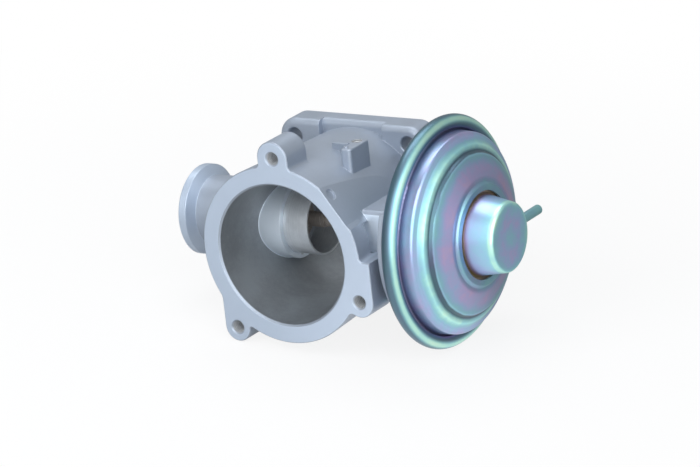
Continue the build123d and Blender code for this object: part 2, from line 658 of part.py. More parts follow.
def valve_stem():
    """Stem with its peened head, hub, collar and groove, stepped down for the diaphragm stack."""
    hub_x = DISC_FRONT_X + HUB_LENGTH
    collar_x = hub_x + COLLAR_T
    groove_x = collar_x + GROOVE_W
    return turned([
        (DISC_BACK_X - PEEN_T, 0),
        (DISC_BACK_X - PEEN_T, PEEN_R - PEEN_T / 2),
        (DISC_BACK_X - PEEN_T / 2, PEEN_R),
        (DISC_BACK_X, PEEN_R),
        (DISC_BACK_X, STEM_SPIGOT_R),
        (DISC_FRONT_X, STEM_SPIGOT_R),
        (DISC_FRONT_X, HUB_R),
        (hub_x, HUB_R),
        (hub_x, COLLAR_R),
        (collar_x, COLLAR_R),
        (collar_x, GROOVE_R),
        (groove_x, GROOVE_R),
        (groove_x, STEM_R),
        (LOWER_PLATE_X, STEM_R),
        (LOWER_PLATE_X, STEM_SPIGOT_R),
        (STEM_END_X, STEM_SPIGOT_R),
        (STEM_END_X, 0),
    ])


def guide_bush():
    """Sintered bronze bush that guides the stem, with a tapered nose in the throat."""
    bore_r = STEM_R + RUNNING_GAP
    nose_r = (GUIDE_R + bore_r) / 2
    return turned([
        (GUIDE_START_X, bore_r),
        (GUIDE_START_X, nose_r),
        (GUIDE_BOSS_X, GUIDE_R),
        (GUIDE_END_X, GUIDE_R),
        (GUIDE_END_X, bore_r),
    ])


def stem_seal():
    """Lip seal behind the guide bush."""
    lip_r = STEM_R + RUNNING_GAP
    return turned([
        (GUIDE_END_X, lip_r + SEAL_T / 3),
        (GUIDE_END_X, SEAL_R),
        (GUIDE_END_X + SEAL_T, SEAL_R),
        (GUIDE_END_X + SEAL_T, lip_r),
        (GUIDE_END_X + SEAL_T * 2 / 3, lip_r),
    ])


def seal_retainer():
    """Stamped washer with a turned-up lip that holds the stem seal."""
    return turned([
        (RETAINER_X, RETAINER_BORE_R),
        (RETAINER_X, SEAL_R),
        (CLIP_X, SEAL_R),
        (CLIP_X, RETAINER_BORE_R + RETAINER_T),
        (CLIP_X + RETAINER_LIP, RETAINER_BORE_R + RETAINER_T),
        (CLIP_X + RETAINER_LIP, RETAINER_BORE_R),
    ])


def retainer_clip():
    """Split snap ring in the groove above the retainer."""
    front_x = CLIP_X + CLIP_T
    ring = rod_x(CLIP_R, CLIP_X, front_x) - rod_x(CLIP_R - CLIP_W, CLIP_X, front_x)
    half = CLIP_GAP_W / 2
    return ring - block(CLIP_X, front_x, VALVE_Y - half, VALVE_Y + half, 0, CLIP_R)


def heat_gasket():
    """Insulating gasket between the pad and the can, cut to the pad's outline."""
    disc = rod_x(CAN_PAD_R, PAD_X, BACK_OUT_X) - rod_x(CAN_CENTRE_HOLE_R, PAD_X, BACK_OUT_X)
    window = block(
        PAD_X,
        BACK_OUT_X,
        VALVE_Y - CAN_PAD_R,
        VALVE_Y + CAN_PAD_BACK,
        -CAN_PAD_HALF_H,
        CAN_PAD_HALF_H,
    )
    solid = disc & window
    for tool in screw_tools():
        solid -= tool
    return solid


def can_screws():
    """Three countersunk screws with hexagon sockets."""
    solids = []
    tip_x = BACK_IN_X - SCREW_LENGTH
    for y, z in can_screw_places():
        screw = rod_x(SCREW_R, tip_x, BACK_IN_X - SCREW_HEAD_T, y, z) + screw_head(y, z)
        socket = Plane.YZ * RegularPolygon(SCREW_RECESS_R, 6)
        socket = extrude(socket, SCREW_RECESS_DEPTH)
        screw -= Pos(BACK_IN_X - SCREW_RECESS_DEPTH, VALVE_Y + y, z) * socket
        solids.append(screw)
    return Compound(children=solids)


def back_shell():
    """Can's back shell: flat round the screws, then rolled over the cover's edge as the rim."""
    mid_r = RIM_TUBE_R - SHEET / 2
    sheet_x = BACK_OUT_X + SHEET / 2
    flat = Line((sheet_x, CAN_CENTRE_HOLE_R), (sheet_x, BACK_FLAT_R))
    bottom = (RIM_X - mid_r, RIM_CENTRE_R)
    rise = JernArc((sheet_x, BACK_FLAT_R), (0, 1), BACK_BEND_R, -BACK_BEND_ANGLE)
    slope = Line(rise @ 1, bottom)
    over = CenterArc((RIM_X, RIM_CENTRE_R), mid_r, 180, -RIM_ROLL_ANGLE)
    line = flat + rise + slope + over
    solid = Pos(0, VALVE_Y, 0) * revolve(trace(line, SHEET), Axis.X)
    for tool in screw_tools():
        solid -= tool
    for side in (-1, 1):
        angle = radians(VENT_TILT) * side
        y, z = VENT_CIRCLE_R * cos(angle), VENT_CIRCLE_R * sin(angle)
        solid -= rod_x(VENT_R, PAD_X, LOWER_PLATE_X, y, z)
    return solid


def cover():
    """Can's front cover, drawn from sheet: stepped wall, dished face and a raised collar."""
    collar_x = COVER_FACE_X + COVER_COLLAR_H
    outline = [
        (collar_x, COVER_HOLE_R),
        (collar_x, COVER_COLLAR_R),
        (COVER_FACE_X, COVER_COLLAR_FOOT_R),
        (COVER_FACE_X, COVER_FACE_R),
        (COVER_FLANGE_X + COVER_EDGE_H, COVER_FOOT_R - COVER_EDGE_INSET),
        (COVER_FLANGE_X + COVER_GROOVE_H, COVER_FOOT_R - COVER_GROOVE_INSET),
        (COVER_FLANGE_X + COVER_STEP_H, COVER_FOOT_R - COVER_STEP_INSET),
        (COVER_FLANGE_X + COVER_CREASE_H, COVER_FOOT_R - COVER_CREASE_INSET),
        (COVER_FLANGE_X + COVER_SHOULDER_H, COVER_FOOT_R - COVER_SHOULDER_INSET),
        (COVER_FLANGE_X, COVER_FOOT_R),
        (COVER_FLANGE_X, COVER_FLANGE_R),
    ]
    return turned_sheet(outline, COVER_BENDS, COVER_SHEET)


def cup_outline():
    """Outer side of the spring cup, from the middle of its end to the edge of its flange."""
    return [
        (CUP_END_X, 0),
        (CUP_END_X, CUP_END_R),
        (CUP_FLANGE_X, CUP_BASE_R),
        (CUP_FLANGE_X, CUP_FLANGE_R),
    ]


def spring_cup():
    """Drawn cup that holds the return spring, flanged under the cover, with the nipple's hole."""
    cup = turned_sheet(cup_outline(), [CUP_EDGE_R, CUP_BASE_BEND], CUP_SHEET)
    return cup - Pos(NIPPLE_X, 0, 0) * rod_y(NIPPLE_R, VALVE_Y, NIPPLE_TIP_Y)


def vacuum_nipple():
    """Steel tube brazed into the cup's side, with a brazing collar against the cup."""
    tube = rod_y(NIPPLE_R, VALVE_Y + CUP_END_R - NIPPLE_ROOT, NIPPLE_TIP_Y)
    tube = fillet(tube.edges().sort_by(Axis.Y)[-1], NIPPLE_TIP)
    collar = rod_y(NIPPLE_COLLAR_R, VALVE_Y, VALVE_Y + CUP_END_R + NIPPLE_COLLAR_H)
    cup = turned(cup_outline() + [(CUP_FLANGE_X, 0)])
    tube = Pos(NIPPLE_X, 0, 0) * tube + (Pos(NIPPLE_X, 0, 0) * collar - cup)
    return tube - Pos(NIPPLE_X, 0, 0) * rod_y(NIPPLE_BORE_R, VALVE_Y, NIPPLE_TIP_Y)


def diaphragm():
    """Dished rubber diaphragm with the bead that the rolled rim grips."""
    line = FilletPolyline(
        (RUBBER_X + RUBBER, STEM_SPIGOT_R + SLIP_GAP),
        (RUBBER_X + RUBBER, ROLL_INNER_R),
        (CLAMP_X, ROLL_OUTER_R),
        (CLAMP_X, RIM_CENTRE_R),
        radius=[ROLL_BEND, ROLL_BEND],
    )
    web = make_face(offset(line, RUBBER, side=Side.LEFT))
    bead = Pos(CLAMP_X - BEAD_TUBE_R, RIM_CENTRE_R) * Circle(BEAD_TUBE_R)
    return Pos(0, VALVE_Y, 0) * revolve(web + bead, Axis.X)


def lower_plate():
    """Flat steel disc under the diaphragm."""
    x = LOWER_PLATE_X + PLATE_SHEET
    disc = rod_x(LOWER_PLATE_R, LOWER_PLATE_X, x)
    return disc - rod_x(STEM_SPIGOT_R + SLIP_GAP, LOWER_PLATE_X, x)


def upper_plate():
    """Steel dish on the diaphragm that carries the return spring."""
    front = UPPER_PLATE_X + PLATE_SHEET
    outline = [
        (front, STEM_SPIGOT_R + SLIP_GAP),
        (front, UPPER_PLATE_R - PLATE_SHEET),
        (front + UPPER_PLATE_LIP, UPPER_PLATE_R - PLATE_SHEET),
    ]
    return turned_sheet(outline, [PLATE_SHEET], PLATE_SHEET)


def spring_washer():
    """Washer under the nut that also centres the return spring."""
    disc = rod_x(WASHER_R, WASHER_X, NUT_X)
    return disc - rod_x(STEM_SPIGOT_R + SLIP_GAP, WASHER_X, NUT_X)


def stem_nut():
    """Hexagon nut with chamfered corners that clamps the diaphragm stack."""
    corner_r = NUT_FLATS / 2 / cos(radians(30))
    hexagon = extrude(Plane.YZ * RegularPolygon(corner_r, 6), NUT_T)
    chamfer = corner_r - NUT_FLATS / 2
    blank = turned([
        (NUT_X, 0),
        (NUT_X, corner_r - chamfer),
        (NUT_X + chamfer / 2, corner_r),
        (NUT_X + NUT_T - chamfer / 2, corner_r),
        (NUT_X + NUT_T, corner_r - chamfer),
        (NUT_X + NUT_T, 0),
    ])
    nut = (Pos(NUT_X, VALVE_Y, 0) * hexagon) & blank
    return nut - rod_x(STEM_SPIGOT_R + SLIP_GAP, NUT_X, NUT_X + NUT_T)


def return_spring():
    """Compression spring between the upper plate and the cup's seat."""
    start = WASHER_X + SPRING_END_GAP + SPRING_WIRE_R
    height = SPRING_SEAT_X - SPRING_SEAT_T - SPRING_END_GAP - SPRING_WIRE_R - start
    path = Helix(height / SPRING_COILS, height, SPRING_MEAN_R)
    section = Plane(origin=path @ 0, z_dir=path % 0) * Circle(SPRING_WIRE_R)
    wire = sweep(section, path, is_frenet=True)
    return Pos(start, VALVE_Y, 0) * Rot(0, 90, 0) * wire


def spring_seat():
    """Moulded seat that centres the spring in the end of the cup."""
    back_x = SPRING_SEAT_X - SPRING_SEAT_T
    pilot_x = SPRING_SEAT_X - SPRING_SEAT_PILOT_T
    return turned([
        (SPRING_SEAT_X, SPRING_SEAT_HOLE_R),
        (SPRING_SEAT_X, SPRING_SEAT_R),
        (back_x, SPRING_SEAT_R),
        (back_x, SPRING_SEAT_PILOT_R),
        (pilot_x, SPRING_SEAT_PILOT_R),
        (pilot_x, SPRING_SEAT_HOLE_R),
    ])


parts = {
    "housing": housing(),
    "face_seal": face_seal(),
    "seat_insert": seat_insert(),
    "lock_pin": lock_pin(),
    "valve_disc": valve_disc(),
    "valve_stem": valve_stem(),
    "guide_bush": guide_bush(),
    "stem_seal": stem_seal(),
    "seal_retainer": seal_retainer(),
    "retainer_clip": retainer_clip(),
    "heat_gasket": heat_gasket(),
    "can_screws": can_screws(),
    "back_shell": back_shell(),
    "lower_plate": lower_plate(),
    "diaphragm": diaphragm(),
    "upper_plate": upper_plate(),
    "spring_washer": spring_washer(),
    "stem_nut": stem_nut(),
    "return_spring": return_spring(),
    "spring_seat": spring_seat(),
    "cover": cover(),
    "spring_cup": spring_cup(),
    "vacuum_nipple": vacuum_nipple(),
}

os.makedirs("parts", exist_ok=True)
for name, solid in parts.items():
    export_step(solid, f"parts/{name}.step")
    size = solid.bounding_box()
    print(name, len(solid.solids()), round(solid.volume), size.min, size.max)
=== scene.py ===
# %% [markdown]
# # An exhaust gas recirculation valve in a light tent
# The part is a die-cast aluminium throttle neck with a vacuum-driven poppet valve across it.
# The measured solids come from the CAD frame. This lesson lights them, gives every piece the
# finish that the real one has, and models the two pieces that bend or squash with the valve.

# %% Load the frame
import json
import math
import bmesh
import bpy
from mathutils import Matrix, Vector


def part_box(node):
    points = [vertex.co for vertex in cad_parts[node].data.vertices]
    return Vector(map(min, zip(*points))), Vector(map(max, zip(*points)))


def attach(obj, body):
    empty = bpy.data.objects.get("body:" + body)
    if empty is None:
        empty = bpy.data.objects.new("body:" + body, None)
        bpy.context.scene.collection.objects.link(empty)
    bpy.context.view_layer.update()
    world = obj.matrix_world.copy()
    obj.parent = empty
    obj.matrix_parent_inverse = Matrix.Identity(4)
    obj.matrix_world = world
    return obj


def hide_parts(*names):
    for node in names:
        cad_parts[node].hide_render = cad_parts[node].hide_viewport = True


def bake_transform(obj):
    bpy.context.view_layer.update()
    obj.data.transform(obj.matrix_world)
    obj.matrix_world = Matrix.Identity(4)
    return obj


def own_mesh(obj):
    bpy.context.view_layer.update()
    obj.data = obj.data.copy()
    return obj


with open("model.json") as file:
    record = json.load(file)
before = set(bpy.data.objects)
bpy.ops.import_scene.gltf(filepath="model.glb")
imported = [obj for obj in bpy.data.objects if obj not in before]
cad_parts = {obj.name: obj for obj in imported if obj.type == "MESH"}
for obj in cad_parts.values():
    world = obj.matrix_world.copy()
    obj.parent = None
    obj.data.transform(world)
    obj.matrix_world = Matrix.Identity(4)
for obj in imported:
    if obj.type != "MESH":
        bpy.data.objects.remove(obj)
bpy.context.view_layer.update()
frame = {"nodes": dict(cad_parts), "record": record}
nodes = frame["nodes"]

# %% [markdown]
# ## Sizes that the finishes share
# A finish such as a machined face or a plated band lies at a place on the part. Some of the
# places are read from the frame's own boxes, so they stay right when the part is packed again.

# %% Places on the part
MM = 0.001
VALVE_Y = -26 * MM
THROAT_R = 29 * MM
housing_low, housing_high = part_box("housing")
FRONT_Y, PLATE_FACE_Y = housing_low.y, housing_high.y
CLAMP_FACE_X, PAD_X = housing_low.x, housing_high.x
CUP_FOOT_X, CUP_END_X = (corner.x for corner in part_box("spring_cup"))
mounts = {mount["name"]: mount for mount in frame["record"]["mounts"]}
print("front face", round(FRONT_Y / MM, 2), "can pad", round(PAD_X / MM, 2),
      "cup end", round(CUP_END_X / MM, 2))

# %% [markdown]
# ## The camera
# The photograph is a product shot from far away with a long lens, so there is hardly any
# perspective. The camera looks down at 18 degrees from the front right. The valve rests on its
# can and on one ear, which tips it by 6 degrees, and the camera is level with the table.

# %% Camera
VIEW_AZIMUTH = math.radians(34.27)
VIEW_ELEVATION = math.radians(18.09)
VIEW_ROLL = math.radians(-6.38)
VIEW_DISTANCE = 1608.4 * MM
FRAMING = Vector((4.2 * MM, -5.0 * MM))
FOCAL_PIXELS = 4000
IMAGE_WIDTH = 700
SENSOR_WIDTH = 36


def add_object(name, data):
    """A new object in the scene, at the origin."""
    thing = bpy.data.objects.new(name, data)
    bpy.context.scene.collection.objects.link(thing)
    return thing


back = Vector((math.sin(VIEW_AZIMUTH) * math.cos(VIEW_ELEVATION),
               -math.cos(VIEW_AZIMUTH) * math.cos(VIEW_ELEVATION),
               math.sin(VIEW_ELEVATION)))
level_right = Vector((math.cos(VIEW_AZIMUTH), math.sin(VIEW_AZIMUTH), 0))
level_up = back.cross(level_right)
right = math.cos(VIEW_ROLL) * level_right + math.sin(VIEW_ROLL) * level_up
up = math.cos(VIEW_ROLL) * level_up - math.sin(VIEW_ROLL) * level_right

lens = bpy.data.cameras.new("product_lens")
lens.sensor_fit = "HORIZONTAL"
lens.sensor_width = SENSOR_WIDTH
lens.lens = FOCAL_PIXELS / IMAGE_WIDTH * SENSOR_WIDTH
lens.clip_start = 0.1
lens.clip_end = 20
camera = add_object("product_camera", lens)
turn = Matrix((right, up, back)).transposed().to_4x4()
aim = Vector((0, VALVE_Y, 0)) + FRAMING.x * right + FRAMING.y * up
camera.matrix_world = Matrix.Translation(aim + VIEW_DISTANCE * back) @ turn
bpy.context.scene.camera = camera
bpy.context.scene.view_settings.view_transform = "Standard"
print("camera at", [round(value, 3) for value in camera.location])

# %% [markdown]
# ## Small helpers for node trees
# A material is a chain of nodes. Written out in full, each node takes three or four lines, so a
# few helpers keep the chains readable: one places any node, two do sums, one mixes colours, and
# one each makes a noise, a ramp and the object's own coordinates.

# %% Node helpers
def add_node(tree, kind, inputs=None, **settings):
    """Puts one node into a tree. A socket given as an input is linked, a plain value is set."""
    node = tree.nodes.new(kind)
    for name, value in settings.items():
        setattr(node, name, value)
    for name, value in (inputs or {}).items():
        if isinstance(value, bpy.types.NodeSocket):
            tree.links.new(value, node.inputs[name])
        else:
            node.inputs[name].default_value = value
    return node


def maths(tree, operation, *values):
    """One Math node, which gives back its result socket."""
    return add_node(tree, "ShaderNodeMath", dict(enumerate(values)), operation=operation).outputs[0]


def vector_maths(tree, operation, *values, **named):
    """One Vector Math node, which gives back its outputs, Vector and Value."""
    inputs = {**dict(enumerate(values)), **named}
    return add_node(tree, "ShaderNodeVectorMath", inputs, operation=operation).outputs


def across(tree, one_leg, other_leg):
    """The distance whose two legs, at a right angle, are known."""
    other_square = maths(tree, "MULTIPLY", other_leg, other_leg)
    return maths(tree, "SQRT", maths(tree, "MULTIPLY_ADD", one_leg, one_leg, other_square))


def remap(tree, value, low, high, new_low=0.0, new_high=1.0):
    """Stretches a value from one range to another with a soft start and end."""
    inputs = {"Value": value, "From Min": low, "From Max": high, "To Min": new_low, "To Max": new_high}
    return add_node(tree, "ShaderNodeMapRange", inputs, interpolation_type="SMOOTHSTEP").outputs[0]


def grey(value):
    """A linear grey."""
    return (value, value, value)


def solid(colour):
    """A plain colour gets its alpha, and a socket stays as it is."""
    return colour if isinstance(colour, bpy.types.NodeSocket) else (*colour, 1)


def mix_colours(tree, share, first, second):
    """Mixes two colours, which are sockets or plain colours."""
    inputs = {0: share, 6: solid(first), 7: solid(second)}
    return add_node(tree, "ShaderNodeMix", inputs, data_type="RGBA").outputs[2]


def noise(tree, place, size, detail=2.0):
    """Soft noise from 0 to 1 whose lumps are about as wide as the size, in metres."""
    inputs = {"Vector": place, "Scale": 1 / size, "Detail": detail}
    return add_node(tree, "ShaderNodeTexNoise", inputs).outputs[0]


def sway(tree, place, size, detail=2.0):
    """The same noise, swinging to both sides of 0."""
    return maths(tree, "SUBTRACT", noise(tree, place, size, detail), 0.5)


def colour_ramp(tree, value, stops):
    """A ramp through (position, colour) stops."""
    node = add_node(tree, "ShaderNodeValToRGB", {"Fac": value})
    elements = node.color_ramp.elements
    elements.remove(elements[1])
    for count, (position, colour) in enumerate(stops):
        element = elements.new(position) if count else elements[0]
        element.position = position
        element.color = solid(colour)
    return node.outputs["Color"]


def object_place(tree):
    """The object coordinates, whole and as separate x, y and z sockets."""
    whole = add_node(tree, "ShaderNodeTexCoord").outputs["Object"]
    parts = add_node(tree, "ShaderNodeSeparateXYZ", {0: whole}).outputs
    return whole, parts[0], parts[1], parts[2]


print("node helpers are ready")

# %% [markdown]
# ## The table
# The table lies under the three points that the part rests on: the can's rim, one ear and a
# corner of the plate. A plane through three points could be worked out corner by corner, but it
# is simpler to make a level grid and turn it until its normal fits.

# %% Table
RIM_POINT = Vector((51.2, -26.0, -46.8)) * MM
EAR_POINT = Vector((-24.9, -62.0, -38.4)) * MM
PLATE_POINT = Vector((-26.8, -5.0, -36.8)) * MM
TABLE_GAP = 0.15 * MM
TABLE_SIZE = 3.0
table_normal = (EAR_POINT - RIM_POINT).cross(PLATE_POINT - RIM_POINT).normalized()
if table_normal.z < 0:
    table_normal = -table_normal

table_mesh = bpy.data.meshes.new("table_top")
shape = bmesh.new()
bmesh.ops.create_grid(shape, x_segments=1, y_segments=1, size=TABLE_SIZE)
tilt = Vector((0, 0, 1)).rotation_difference(table_normal).to_matrix().to_4x4()
drop = Matrix.Translation(RIM_POINT - TABLE_GAP * table_normal)
bmesh.ops.transform(shape, matrix=drop @ tilt, verts=shape.verts)
shape.to_mesh(table_mesh)
shape.free()
table = add_object("table_top", table_mesh)
print("table tips by", round(math.degrees(table_normal.angle((0, 0, 1))), 2), "degrees")

# %% [markdown]
# ## The light tent
# The camera sees plain white everywhere, but metal takes its form from what it mirrors. So the
# tent has one bright bay round the camera, a little to its right, and falls off towards the back
# of the part. Only the compass direction counts, which gives the can's rim a highlight along its
# whole side. The soft light that the tent sheds is much weaker than what metal mirrors of it,
# and the lamps make up for that.

# %% Tent
BAY_SHIFT = 0.2
LOBE_START = math.cos(math.radians(95))
LOBE_FULL = math.cos(math.radians(25))
TENT_DARK, TENT_BRIGHT = 0.45, 1.35
SOFT_DARK, SOFT_BRIGHT = 0.15, 0.40
SOFT_COLOUR = (0.90, 0.95, 1.0)
MIRROR_COLOUR = (0.96, 0.98, 1.0)
bright_side = back + BAY_SHIFT * right
bright_side.z = 0
bright_side.normalize()


def tent_strength(tree, direction, dark, bright):
    """How bright the tent is in a direction: one bright bay round the camera, dimmer elsewhere."""
    level = vector_maths(tree, "MULTIPLY", direction, (1, 1, 0))["Vector"]
    level = vector_maths(tree, "NORMALIZE", level)["Vector"]
    towards = vector_maths(tree, "DOT_PRODUCT", level, bright_side)["Value"]
    return remap(tree, towards, LOBE_START, LOBE_FULL, dark, bright)


def ray_kinds(tree):
    """The Light Path's outputs, and a mask of the rays that a mirror or glass sends out."""
    rays = add_node(tree, "ShaderNodeLightPath").outputs
    return rays, maths(tree, "MAXIMUM", rays["Is Glossy Ray"], rays["Is Transmission Ray"])


def mix_shaders(tree, share, first, second):
    """Mixes two shaders, given as nodes, and gives back the mixing node."""
    return add_node(tree, "ShaderNodeMixShader", {0: share, 1: first.outputs[0], 2: second.outputs[0]})


world = bpy.data.worlds.new("light_tent")
world.use_nodes = True
bpy.context.scene.world = world
tent = world.node_tree
tent.nodes.clear()
rays, mirrored = ray_kinds(tent)
direction = add_node(tent, "ShaderNodeTexCoord").outputs["Generated"]
strength = tent_strength(tent, direction, SOFT_DARK, SOFT_BRIGHT)
soft = add_node(tent, "ShaderNodeBackground", {"Color": solid(SOFT_COLOUR), "Strength": strength})
strength = tent_strength(tent, direction, TENT_DARK, TENT_BRIGHT)
mirror = add_node(tent, "ShaderNodeBackground", {"Color": solid(MIRROR_COLOUR), "Strength": strength})
white = add_node(tent, "ShaderNodeBackground", {"Color": solid(grey(1.0)), "Strength": 1.0})
lighting = mix_shaders(tent, mirrored, soft, mirror)
seen = mix_shaders(tent, rays["Is Camera Ray"], lighting, white)
add_node(tent, "ShaderNodeOutputWorld", {"Surface": seen.outputs[0]})
print("bright side of the tent:", [round(value, 2) for value in bright_side])

# %% [markdown]
# The table's paper runs out into the white tent, so far from the part it shines plain white for
# the camera. Near the part a share of real diffuse paper is left, which keeps the shadow. In
# mirrors the paper glows as the tent does, a little dimmer, so that what faces down looks darker.

# %% Table paper
SHADOW_START = 80 * MM
SHADOW_END = 340 * MM
SHINE_NEAR_PART = 0.86
PAPER_GREY = 0.86
PAPER_DARK = 0.8 * TENT_DARK
PAPER_BRIGHT = 0.7 * TENT_BRIGHT
GLOW_CENTRE = (20 * MM, VALVE_Y, 0)

paper = bpy.data.materials.new("table_paper")
paper.use_nodes = True
tree = paper.node_tree
tree.nodes.clear()
rays, mirrored = ray_kinds(tree)
spot = add_node(tree, "ShaderNodeTexCoord").outputs["Object"]
away = vector_maths(tree, "LENGTH", spot)["Value"]
clear_of_part = remap(tree, away, SHADOW_START, SHADOW_END, SHINE_NEAR_PART, 1.0)
from_part = vector_maths(tree, "SUBTRACT", spot, GLOW_CENTRE)["Vector"]
glow_strength = tent_strength(tree, from_part, PAPER_DARK, PAPER_BRIGHT)
lit = add_node(tree, "ShaderNodeBsdfDiffuse", {"Color": solid(grey(PAPER_GREY))})
shine = add_node(tree, "ShaderNodeEmission", {"Color": solid(grey(1.0)), "Strength": 1.0})
glow = add_node(tree, "ShaderNodeEmission", {"Color": solid(grey(1.0)), "Strength": glow_strength})
seen_share = maths(tree, "MULTIPLY", rays["Is Camera Ray"], clear_of_part)
seen = mix_shaders(tree, mirrored, mix_shaders(tree, seen_share, lit, shine), glow)
add_node(tree, "ShaderNodeOutputMaterial", {"Surface": seen.outputs[0]})
table_mesh.materials.append(paper)
print("shadow on the paper fades out at", round(SHADOW_END / MM), "mm")

# %% [markdown]
# ## The lamps
# Three square lamps stand outside the tent. The key is as large as the tent's wall and stands
# just right of the camera, where it lights the front and is mirrored in the can. A smaller one
# at the upper left brightens what faces left. It gives soft light only and is kept out of
# mirrors, because the real part shows no second highlight there. The last hangs overhead. Large
# lamps keep the shadows' edges soft, as the tent's cloth does.

# %% Lamps
LAMP_COLOUR = (0.94, 0.97, 1.0)
LAMPS = [    # name, place along the camera's right, up and back in metres, size, power, mirrored
    ("key_softbox", (0.12, 0.15, 1.00), (1.1, 1.2), 6.5, True),
    ("left_softbox", (-0.65, 0.35, 0.70), (0.6, 0.6), 5.5, False),
    ("top_softbox", (-0.10, 0.95, 0.00), (0.8, 0.6), 3.8, True),
]


def softbox(name, place, size, power, is_mirrored):
    """A rectangular lamp that faces the part."""
    lamp = bpy.data.lights.new(name, "AREA")
    lamp.shape = "RECTANGLE"
    lamp.size, lamp.size_y = size
    lamp.energy = power
    lamp.color = LAMP_COLOUR
    holder = add_object(name, lamp)
    centre = Vector((0, VALVE_Y, 0))
    spot = centre + place[0] * right + place[1] * up + place[2] * back
    facing = (centre - spot).to_track_quat("-Z", "Y")
    holder.matrix_world = Matrix.Translation(spot) @ facing.to_matrix().to_4x4()
    holder.visible_glossy = is_mirrored


for lamp_values in LAMPS:
    softbox(*lamp_values)
print("lamps:", [light.name for light in bpy.data.lights])

# %% [markdown]
# ## Effects that several finishes share
# Grit from the blasting, rings from the lathe, softened edges, screw threads and the colours of a
# thin film turn up in more than one finish. Each is a node group with named sockets: it is
# built once, and a finish puts it in with its own values. A group only gives out numbers,
# colours and normals, and the shader itself stays in the material.

# %% Node groups
def shader_group(name, inputs, outputs):
    """An empty group with named sockets: inputs as {name: start value}, outputs as {name: kind}."""
    kinds = {float: "NodeSocketFloat", tuple: "NodeSocketVector"}
    group = bpy.data.node_groups.new(name, "ShaderNodeTree")
    for socket, value in inputs.items():
        made = group.interface.new_socket(name=socket, in_out="INPUT", socket_type=kinds[type(value)])
        made.default_value = value
    for socket, kind in outputs.items():
        group.interface.new_socket(name=socket, in_out="OUTPUT", socket_type="NodeSocket" + kind)
    return group, add_node(group, "NodeGroupInput").outputs, add_node(group, "NodeGroupOutput").inputs


def place_group(tree, group, inputs=None):
    """Puts a group into a material and gives back its outputs."""
    return add_node(tree, "ShaderNodeGroup", inputs, node_tree=group).outputs


def link_all(tree, sockets, values):
    """Links each value to the socket of its name."""
    for name, value in values.items():
        tree.links.new(value, sockets[name])


print("group helpers are ready")

# %% [markdown]
# Blasted castings carry a fine grit with soft clouds of lighter and darker grey over it. Three
# noises of different sizes do both: the small ones give the height, the large one the tone.

# %% Blasted grit
GRIT_SIZE = 0.35 * MM
LUMP_SIZE = 2.2 * MM
CLOUD_SIZE = 18 * MM
GRIT_SHARE = 0.6
CLOUD_SHARE = 0.55

group, given, result = shader_group("blasted_grit", {"Size": 1.0},
                                    {"Height": "Float", "Tone": "Float"})
place = vector_maths(group, "SCALE", object_place(group)[0], Scale=given["Size"])["Vector"]
grit = noise(group, place, GRIT_SIZE, 3.0)
lumps = maths(group, "MULTIPLY", noise(group, place, LUMP_SIZE), 1 - GRIT_SHARE)
clouds = noise(group, place, CLOUD_SIZE)
height = maths(group, "MULTIPLY_ADD", grit, GRIT_SHARE, lumps)
fine_tone = maths(group, "MULTIPLY", height, 1 - CLOUD_SHARE)
tone = maths(group, "MULTIPLY_ADD", clouds, CLOUD_SHARE, fine_tone)
link_all(group, result, {"Height": height, "Tone": tone})
blasted_grit = group
print("grit group:", len(group.nodes), "nodes")

# %% [markdown]
# A lathe leaves fine rings round the axis on every face that it cuts. On this part all turned
# pieces share the valve's axis, so one noise, read along the axis and outwards from it, makes
# rings on the cylinders and circles on the ends.

# %% Lathe rings
RING_SHARE = 0.7
STAIN_SIZE = 4 * MM
OUTWARD_STEP = 0.8

group, given, result = shader_group("lathe_rings", {"Pitch": 0.25 * MM},
                                    {"Height": "Float", "Tone": "Float"})
place, x, y, z = object_place(group)
reach = across(group, maths(group, "SUBTRACT", y, VALVE_Y), z)
travel = maths(group, "MULTIPLY_ADD", reach, OUTWARD_STEP, x)
turns = maths(group, "DIVIDE", travel, given["Pitch"])
rings = add_node(group, "ShaderNodeTexNoise", {"W": turns, "Scale": 1.0, "Detail": 2.0},
                 noise_dimensions="1D").outputs[0]
stains = maths(group, "MULTIPLY", noise(group, place, STAIN_SIZE), 1 - RING_SHARE)
tone = maths(group, "MULTIPLY_ADD", rings, RING_SHARE, stains)
link_all(group, result, {"Height": rings, "Tone": tone})
lathe_rings = group
print("lathe group:", len(group.nodes), "nodes")

# %% [markdown]
# No real edge is a knife edge. The Bevel node turns the normal round near an edge, so that the
# edge catches the light as a thin line, and how far it has turned tells where edges are.

# %% Softened edges
EDGE_START = 0.99
EDGE_FULL = 0.80

group, given, result = shader_group("soft_edges", {"Radius": 0.3 * MM},
                                    {"Normal": "Vector", "Edge": "Float"})
rounded = add_node(group, "ShaderNodeBevel", {"Radius": given["Radius"]}, samples=6).outputs[0]
plain = add_node(group, "ShaderNodeNewGeometry").outputs["Normal"]
alike = vector_maths(group, "DOT_PRODUCT", rounded, plain)["Value"]
link_all(group, result, {"Normal": rounded, "Edge": remap(group, alike, EDGE_START, EDGE_FULL)})
soft_edges = group
print("edge group:", len(group.nodes), "nodes")

# %% [markdown]
# The tapped holes are plain cores in the solids. A thread is a groove that climbs by its pitch
# with each turn, so its height is a wave of the depth plus the angle round the hole.

# %% Screw thread
CORE_MARGIN = 0.06 * MM

